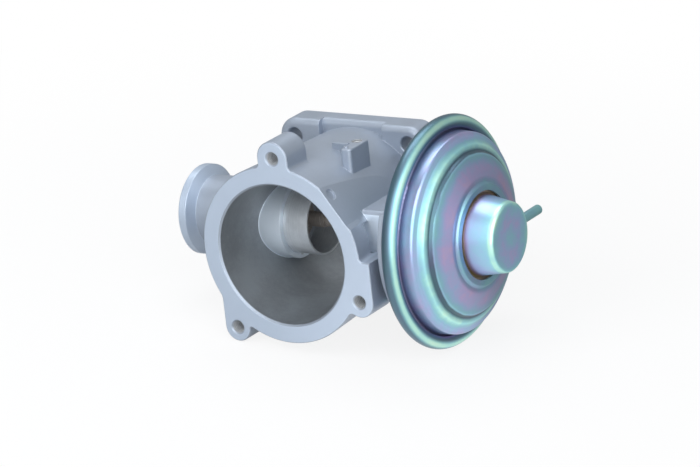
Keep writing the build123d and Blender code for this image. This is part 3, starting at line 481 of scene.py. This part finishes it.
group, given, result = shader_group(
    "tapped_thread", {"Place": (0.0, 0.0, 0.0), "Core": 2.55 * MM, "Pitch": 1.0 * MM, "Start": 0.7 * MM},
    {"Height": "Float", "Mask": "Float"})
around = add_node(group, "ShaderNodeSeparateXYZ", {0: given["Place"]}).outputs
part_turn = maths(group, "DIVIDE", maths(group, "ARCTAN2", around[1], around[0]), 2 * math.pi)
turns = maths(group, "ADD", maths(group, "DIVIDE", around[2], given["Pitch"]), part_turn)
wave = maths(group, "MULTIPLY", maths(group, "PINGPONG", turns, 0.5), 2.0)
wall = maths(group, "ADD", given["Core"], CORE_MARGIN)
within_wall = maths(group, "LESS_THAN", across(group, around[0], around[1]), wall)
past_start = maths(group, "GREATER_THAN", around[2], given["Start"])
link_all(group, result, {"Height": wave, "Mask": maths(group, "MULTIPLY", within_wall, past_start)})
tapped_thread = group
print("thread group:", len(group.nodes), "nodes")

# %% [markdown]
# Passivated zinc carries a clear film that is a few hundred nanometres thick. Light that
# returns from its two sides mixes into a colour that changes with the thickness, as in a soap
# bubble: straw, pink, violet, blue, teal, mint. The ramp holds that order.

# %% Film colours
FILM_COLOURS = [
    (0.00, (0.54, 0.44, 0.24)), (0.12, (0.60, 0.43, 0.42)), (0.24, (0.56, 0.39, 0.55)),
    (0.36, (0.43, 0.38, 0.62)), (0.48, (0.33, 0.43, 0.64)), (0.60, (0.27, 0.49, 0.61)),
    (0.72, (0.28, 0.56, 0.59)), (0.84, (0.40, 0.68, 0.60)), (1.00, (0.60, 0.72, 0.52)),
]
DRIFT_SIZE = 14 * MM
STREAK_SIZE = 2.5 * MM
STREAK_SHARE = 0.35

group, given, result = shader_group("zinc_film", {"Thickness": 0.5, "Unevenness": 0.1},
                                    {"Color": "Color"})
place = object_place(group)[0]
drift = sway(group, place, DRIFT_SIZE, 3.0)
drift = maths(group, "MULTIPLY_ADD", sway(group, place, STREAK_SIZE, 3.0), STREAK_SHARE, drift)
thickness = maths(group, "MULTIPLY_ADD", drift, given["Unevenness"], given["Thickness"])
link_all(group, result, {"Color": colour_ramp(group, thickness, FILM_COLOURS)})
zinc_film = group
print("film group:", len(group.nodes), "nodes")

# %% [markdown]
# ## Helpers for the finishes
# Each finish is a Principled shader with a colour, a roughness and a normal. What is the same all
# over, such as how metallic it is, is set on the shader itself, because the export reads it there.

# %% Finish helpers
def new_finish(name, metallic):
    """A material with a Principled shader: the material, its tree and the shader's sockets."""
    material = bpy.data.materials.new(name)
    material.use_nodes = True
    shader = material.node_tree.nodes["Principled BSDF"]
    shader.inputs["Metallic"].default_value = metallic
    return material, material.node_tree, shader.inputs


def bump(tree, height, depth, normal, strength=1.0):
    """Turns a height from 0 to 1 into a normal, where 1 stands for the depth in metres."""
    inputs = {"Height": height, "Strength": strength, "Distance": depth, "Normal": normal}
    return add_node(tree, "ShaderNodeBump", inputs).outputs[0]


def two_tone(tree, tone, dark, pale, spread=0.15):
    """A colour that goes from dark to pale as the tone passes through its middle."""
    return mix_colours(tree, remap(tree, tone, 0.5 - spread, 0.5 + spread), dark, pale)


def distance_from_axis(tree, y, z):
    """How far a point is from the valve's axis."""
    return across(tree, maths(tree, "SUBTRACT", y, VALVE_Y), z)


print("finish helpers are ready")

# %% [markdown]
# ## Cast aluminium
# Die-cast aluminium is a dull, slightly blue grey, and grit blasting leaves it satin. The faces
# that seal or carry something are cut after casting, so they are smoother and paler: both ends
# of the throat, the can's pad, the whole clamp flange, the neck's front and the boss round the
# insert. Each is a comparison of the place with a plane or a radius. A material of its own for
# each face would do too, but the CAD mesh is loose triangles, which would have to be sorted first.

# %% Where the cutters went
FACE_MARGIN = 0.05 * MM
CLAMP_BAND = 6 * MM
BOSS_R = 16.7 * MM
BOSS_FACE_X = -17.9 * MM
NECK_FRONT_Y = VALVE_Y - 30 * MM
NECK_START_X = 31 * MM
CAST_METALLIC = 0.55

cast_aluminium, tree, shader = new_finish("cast_aluminium", CAST_METALLIC)
place, x, y, z = object_place(tree)
in_throat = maths(tree, "LESS_THAN", across(tree, x, z), THROAT_R + FACE_MARGIN)
near_axis = maths(tree, "LESS_THAN", distance_from_axis(tree, y, z), BOSS_R)
on_boss = maths(tree, "MULTIPLY", near_axis, maths(tree, "LESS_THAN", x, BOSS_FACE_X))
on_boss = maths(tree, "MULTIPLY", in_throat, on_boss)
on_neck = maths(tree, "COMPARE", y, NECK_FRONT_Y, 2 * FACE_MARGIN)
on_neck = maths(tree, "MULTIPLY", on_neck, maths(tree, "GREATER_THAN", x, NECK_START_X))
milled_and_painted_light = maths(tree, "MAXIMUM", on_neck, on_boss)
cut = milled_and_painted_light
for face in (
    maths(tree, "LESS_THAN", y, FRONT_Y + FACE_MARGIN),
    maths(tree, "GREATER_THAN", y, PLATE_FACE_Y - FACE_MARGIN),
    maths(tree, "GREATER_THAN", x, PAD_X - FACE_MARGIN),
    maths(tree, "LESS_THAN", x, CLAMP_FACE_X + CLAMP_BAND),
):
    cut = maths(tree, "MAXIMUM", cut, face)
print("masks of the casting:", len(tree.nodes), "nodes")

# %% [markdown]
# Inside the throat the grey is painted darker and less blue, as painted shade for the deep bore.
# The milled neck and boss face the light less squarely than the flanges, so they are painted paler
# still, as painted light. Edges are painted paler, partly wear and partly a painted highlight.

# %% Casting colours
CAST_DARK, CAST_PALE = (0.36, 0.405, 0.475), (0.40, 0.45, 0.53)
THROAT_SHADE_DARK, THROAT_SHADE_PALE = (0.23, 0.245, 0.26), (0.31, 0.335, 0.36)
CUT_GREY = (0.57, 0.66, 0.79)
MILLED_PAINTED_LIGHT_GREY = (0.80, 0.88, 0.96)
EDGE_WEAR_AND_HIGHLIGHT_GREY = (0.66, 0.71, 0.79)
CAST_EDGE_R = 0.45 * MM
EDGE_WEAR_AND_HIGHLIGHT_SHARE = 0.35
GRIT_DEPTH = 0.05 * MM
GRIT_STRENGTH = 0.5
CAST_SPREAD = 0.20

grain = place_group(tree, blasted_grit)
edges = place_group(tree, soft_edges, {"Radius": CAST_EDGE_R})
cast_tone = two_tone(tree, grain["Tone"], CAST_DARK, CAST_PALE, CAST_SPREAD)
# painted shade: inside the throat's bore the grey is darker and less blue
throat_shade_tone = two_tone(tree, grain["Tone"], THROAT_SHADE_DARK, THROAT_SHADE_PALE)
colour = mix_colours(tree, in_throat, cast_tone, throat_shade_tone)
colour = mix_colours(tree, cut, colour, CUT_GREY)
# painted light: the milled neck and boss get a paler grey than the other cut faces, for the light they
# miss
colour = mix_colours(tree, milled_and_painted_light, colour, MILLED_PAINTED_LIGHT_GREY)
# edges are painted paler: partly wear, partly a painted highlight along the edge
colour = mix_colours(tree, maths(tree, "MULTIPLY", edges["Edge"], EDGE_WEAR_AND_HIGHLIGHT_SHARE), colour, EDGE_WEAR_AND_HIGHLIGHT_GREY)
normal = bump(tree, grain["Height"], GRIT_DEPTH, edges["Normal"], GRIT_STRENGTH)
print("colours of the casting:", len(tree.nodes), "nodes")

# %% [markdown]
# The threads in the ears and in the bracket post are freshly cut: bright and smooth on the crest,
# with a painted shade in the groove. Each hole's mount in the record says where its mouth is and
# which way it goes in, so the thread runs true in every hole.

# %% Threads in the casting
THREADS = [    # mount, core radius and pitch in mm
    ("intake_thread_top", 2.55, 1.0), ("intake_thread_left", 2.55, 1.0),
    ("intake_thread_right", 2.55, 1.0), ("bracket_hole", 2.1, 0.8),
]
THREAD_START = -20 * MM
THREAD_DEPTH = 0.25 * MM
CREST_GREY = (0.84, 0.86, 0.88)
GROOVE_SHADE_GREY = (0.10, 0.10, 0.10)
GROOVE_SHADE_SHARE = 0.60


def hole_place(tree, mount_name, place):
    """The place seen from a hole's mouth: across, across and into the hole."""
    mount = mounts[mount_name]
    into = -Vector(mount["axis"]).normalized()
    sideways = into.orthogonal().normalized()
    away = vector_maths(tree, "SUBTRACT", place, Vector(mount["pos_m"]))["Vector"]
    steps = {count: vector_maths(tree, "DOT_PRODUCT", away, axis)["Value"]
             for count, axis in enumerate((sideways, into.cross(sideways), into))}
    return add_node(tree, "ShaderNodeCombineXYZ", steps).outputs[0]


in_hole = 0.0
for mount_name, core, pitch in THREADS:
    thread = place_group(tree, tapped_thread, {
        "Place": hole_place(tree, mount_name, place), "Core": core * MM, "Pitch": pitch * MM,
        "Start": THREAD_START})
    # painted shade: the thread's groove is darkened
    groove_shade = maths(tree, "MULTIPLY", thread["Mask"], maths(tree, "SUBTRACT", 1.0, thread["Height"]))
    colour = mix_colours(tree, thread["Mask"], colour, CREST_GREY)
    colour = mix_colours(tree, maths(tree, "MULTIPLY", groove_shade, GROOVE_SHADE_SHARE), colour, GROOVE_SHADE_GREY)
    height = maths(tree, "MULTIPLY", thread["Height"], thread["Mask"])
    normal = bump(tree, height, THREAD_DEPTH, normal)
    in_hole = maths(tree, "MAXIMUM", in_hole, thread["Mask"])
print("threaded holes:", len(THREADS))

# %% [markdown]
# Blasting makes the surface rougher where it is darker. A cutter leaves it smoother, and the
# threads smoother still. Deep in a hole there is nothing bright to mirror, so there the metal is
# given less mirror and more soft shine, which keeps its threads readable.

# %% Satin of the casting
CAST_ROUGHNESS = 0.38
ROUGHER_BY_TONE = 0.2
SMOOTHER_BY_CUT = 0.10
SMOOTHER_IN_HOLE = 0.28
HOLE_METALLIC = 0.20

satin = maths(tree, "MULTIPLY_ADD", grain["Tone"], ROUGHER_BY_TONE, CAST_ROUGHNESS)
satin = maths(tree, "SUBTRACT", satin, maths(tree, "MULTIPLY", cut, SMOOTHER_BY_CUT))
satin = maths(tree, "SUBTRACT", satin, maths(tree, "MULTIPLY", in_hole, SMOOTHER_IN_HOLE))
metallic = maths(tree, "MULTIPLY_ADD", in_hole, HOLE_METALLIC - CAST_METALLIC, CAST_METALLIC)
link_all(tree, shader, {"Base Color": colour, "Roughness": satin, "Metallic": metallic, "Normal": normal})
print("cast aluminium:", len(tree.nodes), "nodes")

# %% [markdown]
# ## Zinc with a rainbow film
# The can is drawn from sheet steel, plated with zinc and passivated. The bath runs off the
# raised rings and stands in the grooves, so the film follows the can's profile. A painted ring
# for each colour would look like stripes. Instead, two ramps over the distance from the axis give
# the film's thickness, which picks the hue, and a painted light and shade, which makes grooves
# darker and crests brighter.

# %% Film along a profile
RAMP_END = 50.0
PROFILE_RAMP_TOP = 2.0
SHEET_METALLIC = 0.9
SHEET_EDGE_R = 0.3 * MM
SHEET_GRAIN = 1.6
SHEET_GRAIN_DEPTH = 0.02 * MM
SHEET_GRAIN_STRENGTH = 0.4
ROUGHER_SHEET = 0.16


def along_profile(tree, distance, bands, column):
    """A value from 0 to 2 that follows a column of the bands, which start with a distance in mm."""
    stops = [(band[0] / RAMP_END, grey(band[column] / PROFILE_RAMP_TOP)) for band in bands]
    scaled = maths(tree, "DIVIDE", distance, RAMP_END * MM)
    return maths(tree, "MULTIPLY", colour_ramp(tree, scaled, stops), PROFILE_RAMP_TOP)


def film_colour(tree, thickness, unevenness, depth):
    """The colour of a film of a thickness, painted darker or paler as painted light and shade."""
    film = place_group(tree, zinc_film, {"Thickness": thickness, "Unevenness": unevenness})["Color"]
    return vector_maths(tree, "SCALE", film, Scale=depth)["Vector"]


def plated_colour(tree, distance, bands, unevenness):
    """The film's colour at a distance along the profile, with the painted light and shade of the bands.
    """
    thickness = along_profile(tree, distance, bands, 1)
    return film_colour(tree, thickness, unevenness, along_profile(tree, distance, bands, 2))


def finish_sheet(tree, shader, film, roughness):
    """Gives plated sheet its film, a satin that follows the grain, and soft edges."""
    edges = place_group(tree, soft_edges, {"Radius": SHEET_EDGE_R})
    grain = place_group(tree, blasted_grit, {"Size": SHEET_GRAIN})
    satin = maths(tree, "MULTIPLY_ADD", grain["Tone"], ROUGHER_SHEET, roughness)
    normal = bump(tree, grain["Height"], SHEET_GRAIN_DEPTH, edges["Normal"], SHEET_GRAIN_STRENGTH)
    link_all(tree, shader, {"Base Color": film, "Roughness": satin, "Normal": normal})


print("film helpers are ready")

# %% [markdown]
# The can's bands start at its middle, at the crease round the cup, and go out over the flat cone,
# the step, the groove and the shoulder to the rim. A slow wobble keeps the rings from looking
# turned on a lathe.

# %% Bands of the can
COVER_BANDS = [    # distance from the axis in mm, thickness, painted light and shade
    (16.0, 0.02, 1.50), (17.0, 0.02, 1.50), (17.7, 0.56, 0.85), (20.4, 0.60, 0.92), (21.6, 0.48, 0.88),
    (23.4, 0.36, 0.98), (27.5, 0.38, 1.00), (29.5, 0.50, 0.98), (31.2, 0.62, 0.95), (32.0, 0.60, 1.20),
    (32.4, 0.56, 0.32), (33.3, 0.58, 0.32), (34.2, 0.74, 1.00), (35.6, 0.78, 1.50), (36.8, 0.70, 1.20),
    (37.7, 0.56, 1.20), (38.6, 0.52, 1.25), (40.2, 0.46, 1.10), (40.9, 0.40, 0.80), (46.8, 0.44, 0.80),
]
CAN_WOBBLE_SIZE, CAN_WOBBLE = 9 * MM, 0.6 * MM
CAN_UNEVENNESS = 0.45

plated_can, tree, shader = new_finish("plated_can", SHEET_METALLIC)
place, x, y, z = object_place(tree)
reach = distance_from_axis(tree, y, z)
wobble = maths(tree, "MULTIPLY", sway(tree, place, CAN_WOBBLE_SIZE), CAN_WOBBLE)
# painted light and shade: the bands' third column darkens the groove at the step and brightens the
# crests, the wall and the crease round the cup
film = plated_colour(tree, maths(tree, "ADD", reach, wobble), COVER_BANDS, CAN_UNEVENNESS)
print("can: film of", len(COVER_BANDS), "bands")

# %% [markdown]
# The rolled rim is a tube, so its film changes with the angle round the tube, which the distance
# from the axis can't tell. The crest, which the bath left first, is mint and carries a painted
# highlight, and the sides fall off to a teal with painted shade. The crease behind it is given a
# painted shade.

# %% Rim and crease of the can
RIM_TUBE_R = 3.1 * MM
RIM_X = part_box("back_shell")[1].x - RIM_TUBE_R
RIM_CENTRE_R = 43.7 * MM
RIM_INNER_R = 40.7 * MM
RIM_START, RIM_FULL = -0.9, -0.4
CREST_ANGLE = math.radians(28)
CREST_END, CREST_FULL = 0.75, 0.10
CREST_UNEVENNESS = 0.25
SIDE_FILM, CREST_MORE_FILM = 0.58, 0.26
SIDE_PAINTED_SHADE, CREST_PAINTED_HIGHLIGHT = 0.45, 0.80
CREASE_DEPTH = 3.4 * MM
CREASE_FULL = 0.4 * CREASE_DEPTH
CREASE_WIDTH = 1.0 * MM
CREASE_SHADE_SHARE = 0.45
CREASE_SHADE_COLOUR = (0.15, 0.16, 0.24)
CAN_ROUGHNESS = 0.26

above_flange = maths(tree, "SUBTRACT", x, RIM_X)
round_tube = maths(tree, "ARCTAN2", maths(tree, "SUBTRACT", reach, RIM_CENTRE_R), above_flange)
off_crest = maths(tree, "ABSOLUTE", maths(tree, "SUBTRACT", round_tube, CREST_ANGLE))
# painted highlight: near the crest the rim's film is thicker, mint and painted brighter, and its sides
# darker
crest_film_and_highlight = remap(tree, off_crest, CREST_END, CREST_FULL)
thickness = maths(tree, "MULTIPLY_ADD", crest_film_and_highlight, CREST_MORE_FILM, SIDE_FILM)
depth = maths(tree, "MULTIPLY_ADD", crest_film_and_highlight, CREST_PAINTED_HIGHLIGHT, SIDE_PAINTED_SHADE)
rim_film = film_colour(tree, thickness, CREST_UNEVENNESS, depth)
outside = maths(tree, "GREATER_THAN", reach, RIM_INNER_R)
on_rim = maths(tree, "MULTIPLY", outside, remap(tree, round_tube, RIM_START, RIM_FULL))
film = mix_colours(tree, on_rim, film, rim_film)
# painted shade: the film low in the crease behind the rim is darkened
low_down = remap(tree, above_flange, CREASE_DEPTH, CREASE_FULL)
near_rim = maths(tree, "COMPARE", reach, RIM_INNER_R, CREASE_WIDTH)
crease_shade = maths(tree, "MULTIPLY", low_down, near_rim)
film = mix_colours(tree, maths(tree, "MULTIPLY", crease_shade, CREASE_SHADE_SHARE), film, CREASE_SHADE_COLOUR)
finish_sheet(tree, shader, film, CAN_ROUGHNESS)
print("plated can:", len(tree.nodes), "nodes")

# %% [markdown]
# The cup is the same sheet and the same bath, but it hung the other way. The film runs along it:
# gold in the crease at its foot, where the bath stood longest, then violet, blue on the wall and
# mint round the edge of its end. The end face has rings of its own, and the nipple is teal. The
# third column of each table is painted light, which brightens most of the cup, most in the crease
# at its foot and round the edge of its end.

# %% Plated cup
CUP_BANDS = [    # distance from the foot in mm, thickness, painted light
    (0.0, 0.02, 1.50), (2.6, 0.05, 1.50), (3.4, 0.34, 0.95), (5.0, 0.48, 1.25), (9.0, 0.54, 1.35),
    (12.0, 0.64, 1.40), (12.9, 0.84, 1.45), (14.3, 0.84, 1.45),
]
CUP_END_BANDS = [    # distance from the axis in mm, thickness, painted light
    (0.0, 0.58, 1.30), (6.0, 0.42, 1.30), (9.5, 0.54, 1.30), (12.2, 0.66, 1.30), (13.4, 0.80, 1.40),
]
CUP_WOBBLE_SIZE, CUP_WOBBLE = 6 * MM, 0.5 * MM
CUP_UNEVENNESS, END_UNEVENNESS = 0.3, 0.6
END_MARGIN = 0.2 * MM
NIPPLE_START_Y = -8 * MM
NIPPLE_FILM = {"Thickness": 0.70, "Unevenness": 0.3}
CUP_ROUGHNESS = 0.28

plated_cup, tree, shader = new_finish("plated_cup", SHEET_METALLIC)
place, x, y, z = object_place(tree)
wobble = maths(tree, "MULTIPLY", sway(tree, place, CUP_WOBBLE_SIZE), CUP_WOBBLE)
climb = maths(tree, "ADD", maths(tree, "SUBTRACT", x, CUP_FOOT_X), wobble)
reach = maths(tree, "ADD", distance_from_axis(tree, y, z), wobble)
# painted light: the bands' third column brightens the cup's film
film = plated_colour(tree, climb, CUP_BANDS, CUP_UNEVENNESS)
end_film = plated_colour(tree, reach, CUP_END_BANDS, END_UNEVENNESS)
on_end = maths(tree, "GREATER_THAN", x, CUP_END_X - END_MARGIN)
film = mix_colours(tree, on_end, film, end_film)
nipple_film = place_group(tree, zinc_film, NIPPLE_FILM)["Color"]
film = mix_colours(tree, maths(tree, "GREATER_THAN", y, NIPPLE_START_Y), film, nipple_film)
finish_sheet(tree, shader, film, CUP_ROUGHNESS)
print("plated cup:", len(tree.nodes), "nodes")

# %% [markdown]
# ## Steels and bronze
# The insert and its pin are turned and keep a cool steel colour. The stem and the disc are
# turned too, and browned by heat. The pressed plates, the nut and the screws are plain steel,
# and the spring and the clip are darker spring steel. The bush is sintered bronze. One function
# makes them all, with the lathe's rings deeper or shallower.

# %% Steel finishes
STEEL_EDGE_R = 0.15 * MM
STEEL_EDGE_WEAR_AND_HIGHLIGHT_GREY = grey(0.62)
STEEL_GRAIN = 1.3
ROUGHER_STEEL = 0.15
RELIEF_STRENGTH = 0.6
STEELS = {    # dark, pale, roughness, ring depth and pitch in mm, metallic
    "turned_steel": ((0.50, 0.53, 0.56), (0.68, 0.71, 0.74), 0.28, 0.020, 0.25, 0.45),
    "heat_tinted_steel": ((0.34, 0.30, 0.27), (0.58, 0.52, 0.47), 0.26, 0.020, 0.25, 0.40),
    "plain_steel": ((0.50, 0.51, 0.52), (0.60, 0.61, 0.62), 0.26, 0.008, 0.50, 1.0),
    "spring_steel": ((0.24, 0.25, 0.27), (0.36, 0.37, 0.39), 0.24, 0.006, 0.40, 1.0),
    "sintered_bronze": ((0.42, 0.29, 0.15), (0.56, 0.41, 0.22), 0.34, 0.010, 0.25, 1.0),
}


def steel_finish(name, dark, pale, roughness, ring_depth, pitch, metallic):
    """Turned or drawn metal: a colour between dark and pale that follows the rings, and soft edges."""
    material, tree, shader = new_finish(name, metallic)
    rings = place_group(tree, lathe_rings, {"Pitch": pitch * MM})
    grain = place_group(tree, blasted_grit, {"Size": STEEL_GRAIN})
    edges = place_group(tree, soft_edges, {"Radius": STEEL_EDGE_R})
    tone = maths(tree, "MULTIPLY_ADD", grain["Tone"], 0.5, maths(tree, "MULTIPLY", rings["Tone"], 0.5))
    colour = two_tone(tree, tone, dark, pale)
    # edges are painted paler: partly wear, partly a painted highlight along the edge
    colour = mix_colours(tree, maths(tree, "MULTIPLY", edges["Edge"], 0.5), colour, STEEL_EDGE_WEAR_AND_HIGHLIGHT_GREY)
    satin = maths(tree, "MULTIPLY_ADD", grain["Tone"], ROUGHER_STEEL, roughness)
    normal = bump(tree, rings["Height"], ring_depth * MM, edges["Normal"], RELIEF_STRENGTH)
    link_all(tree, shader, {"Base Color": colour, "Roughness": satin, "Normal": normal})
    return material


finish_of_slot = {"cast_aluminium": cast_aluminium, "passivated_zinc": plated_can}
for name, values in STEELS.items():
    finish_of_slot[name] = steel_finish(name, *values)
print("metals:", sorted(finish_of_slot))

# %% [markdown]
# ## Rubber, fibre and nylon
# Moulded rubber is nearly black with a soft sheen and a faint bloom. The gasket's fibre sheet is
# grey and matt with short flecks. The nylon seat is filled with glass, which shows as a fine
# streaky grey. They differ only in colour, roughness and grit, so one function makes them all.

# %% Soft finishes
MOULDED_EDGE_R = 0.25 * MM
ROUGHER_MOULDED = 0.2
MOULDED = {    # dark, pale, roughness, how fine the grit is, its depth in mm
    "black_rubber": ((0.016, 0.016, 0.017), (0.034, 0.034, 0.036), 0.42, 1.0, 0.04),
    "brown_rubber": ((0.10, 0.045, 0.028), (0.15, 0.07, 0.045), 0.42, 1.0, 0.04),
    "gasket_fibre": ((0.17, 0.18, 0.18), (0.30, 0.31, 0.31), 0.70, 0.7, 0.10),
    "moulded_nylon": ((0.055, 0.055, 0.058), (0.085, 0.085, 0.088), 0.34, 1.2, 0.03),
}


def moulded_finish(name, dark, pale, roughness, grit, depth):
    """A moulded or pressed finish that is not metal: two colours mixed by grit of a size."""
    material, tree, shader = new_finish(name, 0.0)
    grain = place_group(tree, blasted_grit, {"Size": grit})
    edges = place_group(tree, soft_edges, {"Radius": MOULDED_EDGE_R})
    colour = two_tone(tree, grain["Tone"], dark, pale)
    satin = maths(tree, "MULTIPLY_ADD", grain["Tone"], ROUGHER_MOULDED, roughness)
    normal = bump(tree, grain["Height"], depth * MM, edges["Normal"], RELIEF_STRENGTH)
    link_all(tree, shader, {"Base Color": colour, "Roughness": satin, "Normal": normal})
    return material


for name, values in MOULDED.items():
    finish_of_slot[name] = moulded_finish(name, *values)
print("materials:", len(bpy.data.materials))

# %% [markdown]
# ## Dress the solids
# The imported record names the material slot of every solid, so the finishes are handed out by
# slot. Only the cup and its nipple differ, because their film runs another way than the can's.

# %% Hand out the finishes
CUP_NODES = ("spring_cup", "vacuum_nipple")
slot_of_node = {part["node"]: part["material_slot"] for part in frame["record"]["subparts"]}
for name, node in nodes.items():
    finish = plated_cup if name in CUP_NODES else finish_of_slot[slot_of_node[name]]
    node.data.materials.clear()
    node.data.materials.append(finish)
print("dressed", len(nodes), "nodes")

# %% [markdown]
# ## The return spring
# A spring is a circle of wire carried round its axis while it climbs. The spin operator does
# that in one go when it is given a step along the axis. A curve with a bevel would do as well,
# but its points would have to be worked out first. The real spring shortens when the valve
# lifts; this one keeps one length and is attached to the valve's body.

# %% Return spring
WIRE_R = 0.95 * MM
WIRE_SIDES = 12
SPRING_COILS = 6
STEPS_A_COIL = 32
spring_low, spring_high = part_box("return_spring")
spring_mean_r = (spring_high.z - spring_low.z) / 2 - WIRE_R
spring_length = spring_high.x - spring_low.x
coil_step = (spring_length - 2 * WIRE_R) / (SPRING_COILS * STEPS_A_COIL)

shape = bmesh.new()
bmesh.ops.create_circle(shape, cap_ends=False, radius=WIRE_R, segments=WIRE_SIDES)
to_start = Matrix.Translation((spring_low.x + WIRE_R, VALVE_Y, spring_mean_r))
bmesh.ops.transform(shape, matrix=to_start @ Matrix.Rotation(math.pi / 2, 4, "X"), verts=shape.verts)
bmesh.ops.spin(shape, geom=shape.verts[:] + shape.edges[:], cent=(0, VALVE_Y, 0), axis=(1, 0, 0),
               dvec=(coil_step, 0, 0), angle=2 * math.pi * SPRING_COILS,
               steps=SPRING_COILS * STEPS_A_COIL, use_merge=False, use_duplicate=False)
bmesh.ops.holes_fill(shape, edges=[edge for edge in shape.edges if edge.is_boundary], sides=0)
bmesh.ops.recalc_face_normals(shape, faces=shape.faces)
spring_mesh = bpy.data.meshes.new("coiled_wire")
shape.to_mesh(spring_mesh)
shape.free()
for face in spring_mesh.polygons:
    face.use_smooth = len(face.vertices) == 4
spring_mesh.materials.append(finish_of_slot["spring_steel"])
coiled_wire = add_object("coiled_wire", spring_mesh)
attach(coiled_wire, "valve_body")
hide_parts("return_spring")
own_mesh(coiled_wire)
print("spring:", round(spring_length / MM, 1), "mm long,", len(spring_mesh.polygons), "faces")

# %% [markdown]
# ## The diaphragm
# The rubber is held at its bead and moves with the plates in its middle. A copy of the solid is
# merged into one skin, because the CAD mesh is loose triangles, which would tear.

# %% Diaphragm
WELD_DISTANCE = 0.001 * MM
rubber_low, rubber_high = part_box("diaphragm")
shape = bmesh.new()
shape.from_mesh(nodes["diaphragm"].data)
bmesh.ops.remove_doubles(shape, verts=shape.verts, dist=WELD_DISTANCE)
rubber_mesh = bpy.data.meshes.new("moulded_diaphragm")
shape.to_mesh(rubber_mesh)
shape.free()
rubber_mesh.polygons.foreach_set("use_smooth", [True] * len(rubber_mesh.polygons))
rubber_mesh.materials.append(finish_of_slot["black_rubber"])
moulded_diaphragm = add_object("moulded_diaphragm", rubber_mesh)
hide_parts("diaphragm")
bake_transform(moulded_diaphragm)
print("diaphragm from", round(rubber_low.x / MM, 2), "to", round(rubber_high.x / MM, 2))
